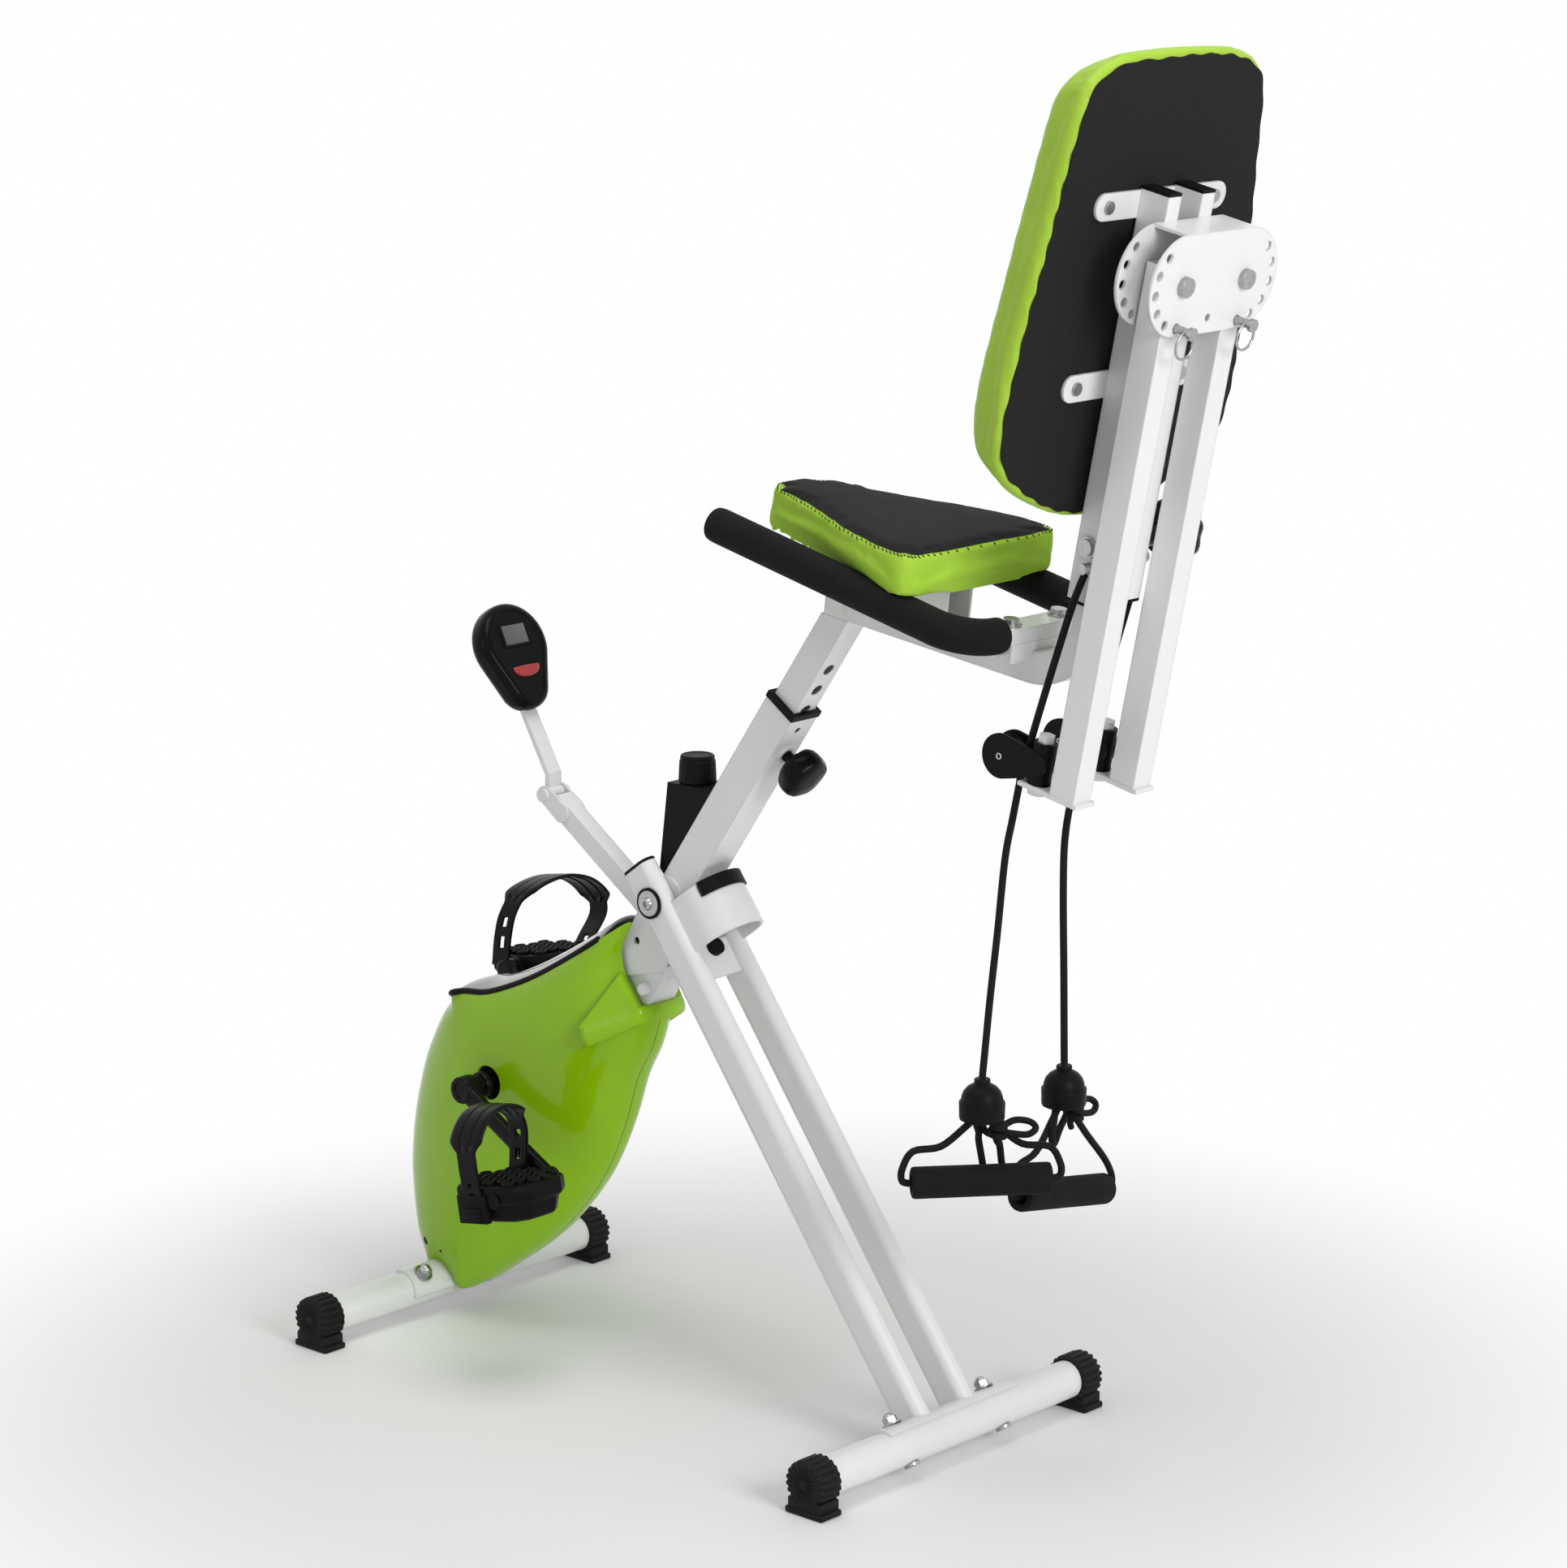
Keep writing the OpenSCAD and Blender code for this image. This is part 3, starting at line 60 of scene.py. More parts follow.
class Wire:
    """One shader socket that takes part in Python sums."""

    def __init__(self, tree, socket=None):
        self.tree, self.socket = tree, socket

    def node(self, kind, settings=None, sockets=None, out=0):
        made = self.tree.nodes.new(kind)
        for key, value in (settings or {}).items():
            setattr(made, key, value)
        for key, value in (sockets or {}).items():
            if isinstance(value, Wire):
                self.tree.links.new(value.socket, made.inputs[key])
            else:
                made.inputs[key].default_value = value
        return Wire(self.tree, made.outputs[out])

    def math(self, kind, a, b):
        return self.node("ShaderNodeMath", {"operation": kind}, {0: a, 1: b})

    def __add__(self, other):
        return self.math("ADD", self, other)

    __radd__ = __add__

    def __sub__(self, other):
        return self.math("SUBTRACT", self, other)

    def __rsub__(self, other):
        return self.math("SUBTRACT", other, self)

    def __mul__(self, other):
        return self.math("MULTIPLY", self, other)

    __rmul__ = __mul__

    def ramp(self, low, high):
        ends = {"Value": self, "From Min": low, "From Max": high}
        return self.node("ShaderNodeMapRange", {"interpolation_type": "SMOOTHSTEP"}, ends)

    def tint(self, dark, pale):
        return self.node("ShaderNodeMix", {"data_type": "RGBA"}, {0: self, 6: dark, 7: pale}, out=2)

    def along(self, axis):
        return self.node("ShaderNodeVectorMath", {"operation": "DOT_PRODUCT"}, {0: self, 1: axis}, out=1)

    def grain(self, scale, detail=2.0):
        return self.node("ShaderNodeTexNoise", None, {"Vector": self, "Scale": scale, "Detail": detail})

    def cells(self, scale):
        return self.node("ShaderNodeTexVoronoi", None, {"Vector": self, "Scale": scale})

    def relief(self, height, depth, under=None):
        rest = {"Normal": under} if under else {}
        return self.node("ShaderNodeBump", None, {"Height": height, "Distance": depth, **rest})

    def worn_edge(self, radius):
        return self.node("ShaderNodeBevel", {"samples": 4}, {"Radius": radius})


def new_finish(name):
    material = bpy.data.materials.new(name)
    material.use_nodes = True
    return material, Wire(material.node_tree).node("ShaderNodeTexCoord", out="Object")


def lay(material, **sockets):
    shader = material.node_tree.nodes["Principled BSDF"]
    for key, value in sockets.items():
        socket = shader.inputs[key.replace("_", " ")]
        if isinstance(value, Wire):
            material.node_tree.links.new(value.socket, socket)
        else:
            socket.default_value = value


def room_rays(wire):
    kinds = ("Is Camera Ray", "Is Glossy Ray", "Is Transmission Ray")
    eye, gloss, glass = (wire.node("ShaderNodeLightPath", out=kind) for kind in kinds)
    return wire.node("ShaderNodeMath", {"operation": "ADD", "use_clamp": True}, {0: eye + gloss, 1: glass})


floor_reach, floor_sides, floor_drop = 9, 120, 0.0004
fade_from, fade_to = 0.45, 1.1
floor_walk = [2 * pi * i / floor_sides for i in range(floor_sides)]
floor_mesh = bpy.data.meshes.new("floor")
floor_mesh.from_pydata([(floor_reach * cos(a), floor_reach * sin(a), -floor_drop) for a in floor_walk],
                       [], [list(range(floor_sides))])
floor = bpy.data.objects.new("floor", floor_mesh)
scene.collection.objects.link(floor)
floor_paint, where = new_finish("floor_paint")
lay(floor_paint, Base_Color=where.grain(6).tint((0.93, 0.93, 0.93, 1), (0.95, 0.95, 0.95, 1)), Roughness=0.7)
glow = where.node("ShaderNodeEmission", None, {"Color": (1, 1, 1, 1), "Strength": 1.0})
away = where.node("ShaderNodeVectorMath", {"operation": "LENGTH"}, {0: where}, out=1)
bare = Wire(where.tree, where.tree.nodes["Principled BSDF"].outputs[0])
faded = away.ramp(fade_from, fade_to) * room_rays(where)
swept = where.node("ShaderNodeMixShader", None, {0: faded, 1: bare, 2: glow})
where.tree.links.new(swept.socket, where.tree.nodes["Material Output"].inputs["Surface"])
floor_mesh.materials.append(floor_paint)

room_light = 0.34
room = bpy.data.worlds.new("room")
scene.world = room
room.use_nodes = True
sky = room.node_tree.nodes["Background"]
sky.inputs["Color"].default_value = (1, 1, 1, 1)
room_level = room_light + (1 - room_light) * room_rays(Wire(room.node_tree))
room.node_tree.links.new(room_level.socket, sky.inputs["Strength"])


def lamp(name, at, aim, size, power):
    light = bpy.data.lights.new(name, "AREA")
    light.shape, light.size, light.energy = "DISK", size, power
    holder = bpy.data.objects.new(name, light)
    holder.location = at
    holder.rotation_euler = (Vector(aim) - Vector(at)).to_track_quat("-Z", "Y").to_euler()
    scene.collection.objects.link(holder)


lamp("key_lamp", at=(-3.5, 0.7, 1.9), aim=(0, 0, 0.6), size=1.6, power=68)
lamp("top_lamp", at=(-0.4, 0.3, 3.2), aim=(0, 0, 0.4), size=1.8, power=30)
lamp("fill_lamp", at=(1.4, 3.2, 1.5), aim=(0, 0, 0.6), size=1.6, power=5)

camera = bpy.data.objects.new("camera", bpy.data.cameras.new("camera"))
camera.data.lens = 105.99
camera.data.sensor_width = 36
camera.data.sensor_fit = "HORIZONTAL"
camera.location = (-2.93647, 3.21302, 1.61464)
view_aim = Vector((-0.0108, 0.0047, 0.635))
camera.rotation_euler = (view_aim - camera.location).to_track_quat("-Z", "Y").to_euler()
scene.collection.objects.link(camera)
scene.camera = camera

# White tubes: mild steel tube, bent, welded and powder coated, with the fine orange peel
# of a baked coat. The seat post, rail, arms and console stem share the finish.
white_coat, where = new_finish("white_coat")
peel = where.grain(850)
cloud = where.grain(14, 3)
lay(white_coat, Base_Color=cloud.tint((0.76, 0.765, 0.77, 1), (0.82, 0.82, 0.815, 1)),
    Roughness=0.24 + 0.16 * peel, Coat_Weight=0.2,
    Normal=where.relief(peel, 0.00006, where.worn_edge(0.0022)))


def paint(material, *names):
    for name in names:
        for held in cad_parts[name].material_slots:
            held.material = material


paint(white_coat, "front_base", "rear_base", "front_frame", "seat_tube", "console_post", "console_stem",
      "rear_leg_frame", "seat_post", "seat_rail", "seat_bracket", "handlebar", "back_posts", "back_strips",
      "hinge_bracket", "left_arm", "right_arm")

# Bolts, nuts, washers, lock pins and pull rings: turned and pressed steel under bright zinc,
# screwed up tight or pushed through, with a faint grain left by the lathe.
zinc, where = new_finish("zinc")
turned = where.grain(240, 4)
lay(zinc, Base_Color=turned.tint((0.3, 0.305, 0.31, 1), (0.5, 0.5, 0.51, 1)), Metallic=1.0,
    Roughness=0.2 + 0.2 * turned, Normal=where.relief(turned, 0.00004, where.worn_edge(0.0008)))
paint(zinc, "frame_fasteners", "leg_fasteners", "seat_fasteners", "pivot_bolt", "left_lock_pin",
      "right_lock_pin", "crank_bearings")

# Drive inside the housing: a flywheel of cast iron on its own axle, and the magnet shoe that
# brakes it from beside the rim. Both keep the dark sandy skin of the casting.
cast_iron, where = new_finish("cast_iron")
sand = where.grain(420, 4)
lay(cast_iron, Base_Color=sand.tint((0.06, 0.06, 0.065, 1), (0.16, 0.16, 0.165, 1)), Metallic=0.8,
    Roughness=0.4 + 0.25 * sand, Normal=where.relief(sand, 0.0002))
paint(cast_iron, "flywheel", "brake_shoe")

# Plain black mouldings: seat collar, tension box, leg bushes, post caps, belt drive and pulleys,
# injection moulded with a fine spark-eroded grain, and pressed or screwed on.
black_mould, where = new_finish("black_mould")
spark = where.grain(1300, 1)
lay(black_mould, Base_Color=where.grain(30).tint((0.004, 0.004, 0.0042, 1), (0.007, 0.007, 0.0072, 1)),
    Roughness=0.36 + 0.16 * spark, Specular_IOR_Level=0.08,
    Normal=where.relief(spark, 0.00005, where.worn_edge(0.0012)))
paint(black_mould, "seat_collar", "tension_box", "leg_plastics", "post_caps", "drive_pulley", "drive_belt",
      "left_pulley_block", "right_pulley_block", "left_pulley_wheel", "right_pulley_wheel")

# Foot caps: rubbery mouldings pushed over the ends of both base tubes, ribbed round the rim, with
# a star of ribs on the end and a broad two-step pad on the floor.
MM = 0.001


def spot(x, y, z):
    return Matrix.Translation(Vector((x, y, z)) * MM)


def turn(angle, axis):
    return Matrix.Rotation(radians(angle), 4, axis)


def outward(side):
    return turn(-90 * side, "X")


def circle(sides):
    return [2 * pi * j / sides for j in range(sides)]


class Form:
    """Points and faces of one piece, given in millimetres in a local frame."""

    def __init__(self, at):
        self.at, self.points, self.faces = at, [], []

    def add(self, points, faces, at=None):
        first = len(self.points)
        whole = self.at @ at if at else self.at
        self.points += [whole @ (Vector(p) * MM) for p in points]
        self.faces += [[first + i for i in face] for face in faces]

    def loft(self, rings, loop=False, at=None):
        n, m = len(rings[0]), len(rings)
        faces = [(i * n + j, i * n + (j + 1) % n, (i + 1) % m * n + (j + 1) % n, (i + 1) % m * n + j)
                 for i in range(m if loop else m - 1) for j in range(n)]
        if not loop:
            faces += [list(range(n)), [(m - 1) * n + j for j in range(n)]]
        self.add([p for ring in rings for p in ring], faces, at)

    def lathe(self, profile, at=None, sides=48, lobes=None):
        bulge = lobes or (lambda angle: 1.0)
        ring = [(cos(a), sin(a), bulge(a)) for a in circle(sides)]
        self.loft([[(r * s * c, r * s * d, h) for c, d, s in ring] for r, h in profile], at=at)

    def tube(self, route, radius, sides):
        p = [Vector(q) for q in route]
        n = len(p)
        side = Vector((0.3, 0.5, 0.81))
        rings = []
        for i in range(n):
            ahead = (p[min(i + 1, n - 1)] - p[max(i - 1, 0)]).normalized()
            side = (side - side.dot(ahead) * ahead).normalized()
            up = ahead.cross(side)
            r = radius if isinstance(radius, (int, float)) else radius[i]
            rings.append([p[i] + r * (cos(a) * side + sin(a) * up) for a in circle(sides)])
        self.loft(rings)

    def net(self, grid, cut=None):
        n = len(grid[0])
        cells = [(i, j) for i in range(len(grid) - 1) for j in range(n - 1) if not (cut and cut(i, j))]
        self.add([p for row in grid for p in row],
                 [(i * n + j, i * n + j + 1, i * n + n + j + 1, i * n + n + j) for i, j in cells])

    def block(self, low, high, soft):
        shape = bmesh.new()
        bmesh.ops.create_cube(shape, size=1)
        low, high = Vector(low), Vector(high)
        for v in shape.verts:
            v.co = (low + high) / 2 + v.co * (high - low)
        bmesh.ops.bevel(shape, geom=shape.edges[:], offset=soft, segments=3, profile=0.5, affect="EDGES")
        shape.verts.index_update()
        self.add([v.co for v in shape.verts], [[v.index for v in f.verts] for f in shape.faces])
        shape.free()

    def piece(self, name, body, slot, material, stands_for=(), crease=32):
        mesh = bpy.data.meshes.new(name)
        mesh.from_pydata(self.points, [], self.faces)
        shape = bmesh.new()
        shape.from_mesh(mesh)
        bmesh.ops.recalc_face_normals(shape, faces=shape.faces)
        shape.to_mesh(mesh)
        shape.free()
        mesh.shade_smooth()
        mesh.set_sharp_from_angle(angle=radians(crease))
        mesh.materials.append(material)
        made = bpy.data.objects.new(name, mesh)
        scene.collection.objects.link(made)
        if stands_for:
            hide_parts(*stands_for)
        if body:
            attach(made, body)
        return made


cap_rubber, where = new_finish("cap_rubber")
bloom = where.grain(90, 4)
lay(cap_rubber, Base_Color=bloom.tint((0.005, 0.005, 0.0052, 1), (0.01, 0.01, 0.0102, 1)),
    Roughness=0.5 + 0.2 * bloom, Specular_IOR_Level=0.16, Normal=where.relief(where.grain(900), 0.00006))

tube_high, sole_in, sole_out = 31, 181, 209.5
one_rib = (0, 0.7, 1, 1, 1, 0.7, 0, 0)
cap_walk = [(a, one_rib[j % len(one_rib)]) for j, a in enumerate(circle(20 * len(one_rib)))]
cap_rows = ((19.3, 0, 180.2, 0), (21, 0.8, 180.2, 0), (21.6, 2.2, 182, 0), (21.6, 2.2, 205, 0),
            (20.6, 2.2, 208.4, 0), (18.6, 1.2, 210, 0), (15, 0, 210, 1.4), (6, 0, 209.6, 1.4),
            (4.6, 0, 209.8, 0), (0.6, 0, 210, 0))


def cap_ring(base, rib, z, star):
    return [((base + rib * k) * cos(a), (base + rib * k) * sin(a), z - star * (1 - k)) for a, k in cap_walk]


for node_name, body_name, base_x in (("front_feet", "frame", 462.8), ("rear_feet", "rear_leg", -222.2)):
    caps = Form(spot(base_x, 0, tube_high))
    for side in (1, -1):
        caps.loft([cap_ring(*row) for row in cap_rows], at=outward(side))
        y0, y1 = (sole_in, sole_out) if side > 0 else (-sole_out, -sole_in)
        caps.block((-23.5, y0, -tube_high), (23.5, y1, -25), 1.6)
        caps.block((-20.5, y0 + 0.6, -25.8), (20.5, y1 - 0.6, -15), 1.6)
        for x in (-16, -5.3, 5.3, 16):
            caps.block((x - 3.6, y0 + 0.4, -29.6), (x + 3.6, y1 + 0.5, -26.2), 0.8)
    caps.piece(node_name + "_caps", body_name, "black_rubber", cap_rubber, (node_name,), crease=40)

# Fold pivot: one steel bolt through both legs, with a broad polished washer in a black plastic
# ring on each side and a domed socket screw in the middle of it.
bolt_head, shank = 8, 5
pivot_at = spot(132.8, 0, 499)
pivot_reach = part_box("pivot_bolt")[1][1] / MM - bolt_head
ring_profile = [(shank, 0.1), (15.3, 0.1), (15.6, 0.6), (15.6, 2.6), (14.9, 3.3), (13.5, 3.3), (13.2, 2.4),
                (shank, 2.4)]
head_profile = [(0.5, 1.9), (13.1, 1.9), (13.1, 3.1), (12.3, 3.8), (6.5, 3.9), (6.3, 4.6), (5.5, 6.3),
                (3.7, 7.3), (3.2, 7.3), (3.1, 4.8), (0.5, 4.8)]
shank_profile = [(0.5, 0), (shank, 0), (shank, pivot_reach + 2), (0.5, pivot_reach + 2)]
pivot_rings, pivot_heads = Form(pivot_at), Form(pivot_at)
for side in (1, -1):
    leg_face = outward(side) @ spot(0, 0, pivot_reach)
    pivot_rings.lathe(ring_profile, leg_face)
    pivot_heads.lathe(head_profile, leg_face)
    pivot_heads.lathe(shank_profile, outward(side))
pivot_rings.piece("pivot_rings", "rear_leg", "black_plastic", black_mould)
pivot_heads.piece("pivot_heads", "rear_leg", "zinc_steel", zinc, ("pivot_bolt",))

# Drive housing: two glossy injection-moulded half shells, screwed together on a fine seam line,
# that flare into a flat-topped opening for the grey cover.
rim = [(70, 42, 78), (50, 42, 84), (13, 42, 90), (-47, 42, 115), (-105, 42, 148), (-152, 42, 178),
       (-183, 33, 197), (-164, 27, 166), (-168, 26, 138), (-186, 25, 106), (-193, 3, 104), (-180, 0, 62),
       (-159, 0, 25), (-140, 0, -30), (-111, 0, -88), (-68, 0, -142), (-23, 0, -183), (25, 0, -217),
       (56, 0, -238), (84, 20, -251), (92, 26, -236), (108, 26, -228), (132, 22, -232), (150, 0, -210),
       (159, 0, -141), (156, 0, -95), (147, 0, -48), (129, 0, 8), (97, 0, 60)]
rim_steps, mouth_half, half_wide, wall = 6, 42, 58, 3
curl, hub_edge, seam_gap = 2.6, 18, 0.35
crank_at = spot(350.8, 0, 275)


def bend_at(a, b, c, d, t):
    square, cube = 2 * a - 5 * b + 4 * c - d, 3 * b - 3 * c + d - a
    return 0.5 * (2 * b + (c - a) * t + square * t * t + cube * t ** 3)


def smooth_loop(points, steps):
    p = [Vector(q) for q in points]
    n = len(p)
    return [bend_at(p[i - 1], p[i], p[(i + 1) % n], p[(i + 2) % n], j / steps)
            for i in range(n) for j in range(steps)]


def smooth_run(points, steps):
    p = [Vector(q) for q in points]
    n = len(p)
    return [bend_at(p[max(i - 1, 0)], p[i], p[i + 1], p[min(i + 2, n - 1)], j / steps)
            for i in range(n - 1) for j in range(steps)] + [p[-1]]


def calm(values, reach):
    n = len(values)
    span = range(-reach, reach + 1)
    return [sum((values[(i + j) % n] for j in span), values[0] * 0) / len(span) for i in range(n)]


rim_line = smooth_loop(rim, rim_steps)
rim_soft = calm(rim_line, 14)
swell = [(1 - (max(0, min(mouth_half, p.y)) / half_wide) ** curl) ** (-1 / curl) for p in rim_line]
swell_soft = calm(swell, 9)


def shell_ring(s, half, inset):
    t = min(1, 5 * s)
    ring = []
    for line, soft, tight, loose in zip(rim_line, rim_soft, swell, swell_soft):
        p = line.lerp(soft, min(1, 3 * s))
        length = hypot(p.x, p.z)
        r = (length - inset) * (1 - s) + hub_edge * s
        reach = length * (tight + (loose - tight) * t)
        y = half * (1 - min(1, r / reach) ** curl) ** (1 / curl)
        ring.append((p.x * r / length, max(seam_gap, y), p.z * r / length))
    return ring


green_gloss, where = new_finish("green_gloss")
swirl = where.grain(9, 3)
lay(green_gloss, Base_Color=swirl.tint((0.27, 0.53, 0.002, 1), (0.31, 0.58, 0.004, 1)),
    Roughness=0.1 + 0.1 * where.grain(35), Coat_Weight=0.06, Coat_Roughness=0.05, Specular_IOR_Level=0.28,
    Normal=where.relief(where.grain(45), 0.0002))

steps_out = (0, 0.0002, 0.0012, 0.004, 0.01, 0.02, 0.035, 0.055, 0.085, 0.13, 0.18, 0.24, 0.3, 0.4, 0.55,
             0.7, 0.85, 0.96, 1)
steps_in = (1, 0.55, 0.3, 0.17, 0.09, 0.04, 0.012, 0)
# Two black discs on each shell stand for screw holes: painted shade in place of the dark insides of the
# holes.
screw_hole_shade = ((123, -203, 4.2), (97, -208, 1.7))
for side, node_name in ((1, "left_shell"), (-1, "right_shell")):
    rings = [shell_ring(s, half_wide, 0) for s in steps_out]
    rings += [shell_ring(s, half_wide - wall, wall) for s in steps_in]
    half_shell = Form(crank_at)
    half_shell.loft([[(x, side * y, z) for x, y, z in ring] for ring in rings], loop=True)
    half_shell.piece(node_name + "_skin", "frame", "green_plastic", green_gloss, (node_name,), crease=50)
    probe = BVHTree.FromPolygons(half_shell.points, half_shell.faces)
    hole_shade_discs = Form(Matrix())
    for x, z, r in screw_hole_shade:
        hit, facing = probe.ray_cast(crank_at @ (Vector((x, side * 90, z)) * MM), Vector((0, -side, 0)))[:2]
        facing = facing if facing.y * side > 0 else -facing
        on_skin = Matrix.Translation(hit) @ facing.to_track_quat("Z", "Y").to_matrix().to_4x4()
        hole_shade_discs.lathe([(0.2, 0.2), (0.8 * r, 0.2), (r, 0.3), (1.08 * r, -0.6)], on_skin, sides=24)
    hole_shade_discs.piece(node_name + "_screw_hole_shade", "frame", "black_plastic", black_mould)

# Crank set: forged arms under a smooth coat of black paint, keyed on the axle between a round
# bearing cover and a boss, and carrying the pedal spindles.
black_paint, where = new_finish("black_paint")
flow = where.grain(60, 3)
lay(black_paint, Base_Color=flow.tint((0.003, 0.003, 0.003, 1), (0.006, 0.006, 0.006, 1)),
    Roughness=0.2 + 0.12 * flow, Specular_IOR_Level=0.1,
    Normal=where.relief(where.grain(700), 0.00003, where.worn_edge(0.0018)))
crank_lean, throw, arm_mid, arm_half = -29.2, 140, 91, 6.2
axle_profile = [(0.5, 0), (8.5, 0), (8.5, 62.5), (12.4, 62.6), (13.4, 63.8), (13.4, 69.5), (12.6, 70.8),
                (9.6, 71.2), (9.2, 78), (12.2, 79), (13.8, 81), (14.2, 84), (14.2, 95.8), (13.4, 97.6),
                (9, 98), (8.4, 96.4), (0.5, 96.4)]
spindle_profile = [(0.5, 84.6), (9.6, 84.6), (11.4, 86), (12, 88), (12, 95), (11.2, 97.4), (7.5, 97.9),
                   (6.8, 99), (6.8, 176), (0.5, 177)]


def blunt(value):
    return abs(value) ** 0.6 * (1 if value > 0 else -1)


cranks = Form(crank_at @ turn(crank_lean, "Y"))
for side in (1, -1):
    cranks.lathe(axle_profile, outward(side))
    cranks.lathe(spindle_profile, spot(-side * throw, 0, 0) @ outward(side))
    arm_rings = []
    for t in (i / 20 for i in range(21)):
        tall = 10.6 - 1.6 * sin(pi * t) - 0.8 * t
        section = [(arm_half * blunt(cos(a)), tall * blunt(sin(a))) for a in circle(24)]
        arm_rings.append([(-side * throw * t, side * arm_mid + y, z) for y, z in section])
    cranks.loft(arm_rings)
cranks.piece("crank_arms", "crank", "black_crank", black_paint, ("crank_set",))

# Tube collar: the rolled lip of the housing where the main tube comes out of it, moulded in green
# with the shells, with a flat flank on each side and a round edge carried behind the tube.
flank_tip, flank_top, flank_low = Vector((-131, 58, 82)), Vector((-168, 36, 141)), Vector((-189, 33, 108))
roll_tip, roll_low = Vector((-137, 57, 62)), Vector((-190, 35, 92))
lip_wall, lip_bow = 2, 8


def thicken(made, thickness, offset):
    skin = made.modifiers.new("skin", "SOLIDIFY")
    skin.thickness, skin.offset = thickness * MM, offset


lip_rows = []
for t in (i / 8 for i in range(9)):
    top, edge, low = flank_tip.lerp(flank_top, t), flank_tip.lerp(flank_low, t), roll_tip.lerp(roll_low, t)
    lip_rows.append((top, top.lerp(edge, 0.5), edge, edge.lerp(low, 0.5), low))
for a in (pi / 2 * i / 6 for i in range(1, 7)):
    edge, low = (Vector((flank_low.x - lip_bow * sin(a), flank_low.y * cos(a), z))
                 for z in (flank_low.z, roll_low.z))
    lip_rows.append((edge + Vector((2, 0, 2)), edge + Vector((1, 0, 1)), edge, edge.lerp(low, 0.5), low))
grid = []
for top, high, edge, mid, low in lip_rows:
    on_flank = edge.y > 20
    out = Vector((-0.55, 0.8, -0.2)) if on_flank else Vector((-0.95, 0.2, -0.2))
    inner = top + Vector((4, -13 if on_flank else 0, 0))
    roll = [edge.lerp(mid, 0.4) + 1.6 * out, mid + 2.4 * out, mid.lerp(low, 0.5) + 2 * out]
    tuck = low - 12 * out + Vector((0, 0, 2))
    grid.append([inner, top, high, edge, *roll, low, tuck])
grid += [[Vector((p.x, -p.y, p.z)) for p in row] for row in reversed(grid[:-1])]
lip = Form(crank_at)
lip.net(grid)
thicken(lip.piece("housing_tube_lip", "frame", "green_plastic", green_gloss, crease=60), lip_wall, -1)

# Top cover: a crowned panel of glossy grey plastic that closes the opening of the housing,
# pressed into a thick black gasket along the edges of the two shells.
grey_gloss, where = new_finish("grey_gloss")
lay(grey_gloss, Base_Color=where.grain(20).tint((0.3, 0.3, 0.31, 1), (0.36, 0.36, 0.37, 1)), Roughness=0.14,
    Coat_Weight=0.4, Normal=where.relief(where.grain(60), 0.0001))
cover_from, cover_count, cover_wall, cover_sunk = (len(rim) - 1) * rim_steps + 1, 35, 3, 1.5
gasket_in, gasket_up, gasket_r = 1.2, 0.8, 3.4
cover_edge = [rim_line[(cover_from + i) % len(rim_line)] for i in range(cover_count)]
grid = []
for i, p in enumerate(cover_edge):
    crown = (0.08 + 0.32 * min(1, i / 24)) * p.y
    grid.append([(p.x, p.y * v / 8 * 0.97, p.z - cover_sunk + crown * (1 - (v / 8) ** 2))
                 for v in range(-8, 9)])
cover = Form(crank_at)
cover.net(grid)
thicken(cover.piece("top_cover_panel", "frame", "grey_panel", grey_gloss, ("top_cover",)), cover_wall, 0)
left_edge = [(p.x, p.y - gasket_in, p.z + gasket_up) for p in reversed(cover_edge)]
right_edge = [(p.x, gasket_in - p.y, p.z + gasket_up) for p in cover_edge]
gasket = Form(crank_at)
gasket.tube(left_edge + right_edge, gasket_r, 10)
gasket.piece("top_cover_gasket", "frame", "black_plastic", black_mould)

# Pedals: moulded black bodies with cut corners, a tread of round studs, the buckle plate for
# the strap on the outer edge, and the axle boss through the middle.
pedal_rubber, where = new_finish("pedal_rubber")
scuff = where.grain(160, 4)
lay(pedal_rubber, Base_Color=scuff.tint((0.002, 0.002, 0.002, 1), (0.006, 0.006, 0.006, 1)),
    Roughness=0.4 + 0.2 * scuff, Specular_IOR_Level=0.08, Normal=where.relief(where.grain(800), 0.00008))
pedal_turn = 10
pedal_at = {"left": spot(228.591, 145, 206.7) @ turn(pedal_turn, "Y"),
            "right": spot(473.009, -145, 343.3) @ turn(pedal_turn, "Y")}
corners = [Vector(q) for q in ((-52, -20), (-52, 20), (-40, 36), (-16, 40), (16, 40), (40, 36), (52, 20),
                               (52, -20), (40, -36), (16, -40), (-16, -40), (-40, -36))]
pedal_edge = [a.lerp(b, t) for a, b in zip(corners, corners[1:] + corners[:1]) for t in (0, 0.5)]
pedal_rows = ((0.5, -25), (0.74, -25), (0.8, -23), (0.88, -8), (0.97, -5), (1, -2), (1, 8), (0.985, 10.6),
              (0.95, 11.8), (0.9, 12), (0.88, 11), (0.5, 11))
stud_profile = [(0.5, 10.5), (6.6, 10.5), (6.5, 14.4), (5.6, 15.6), (4.2, 15.7), (3.2, 14.6), (0.5, 14.4)]
axle_boss = [(0.5, -4), (9, -4), (11, -2.5), (11, 6), (0.5, 6)]
end_disc = [(0.5, 0), (7.5, 0), (8.2, 0.6), (8.2, 1.4), (0.5, 1.4)]
stud_gap, row_gap = 14.2, 14.6
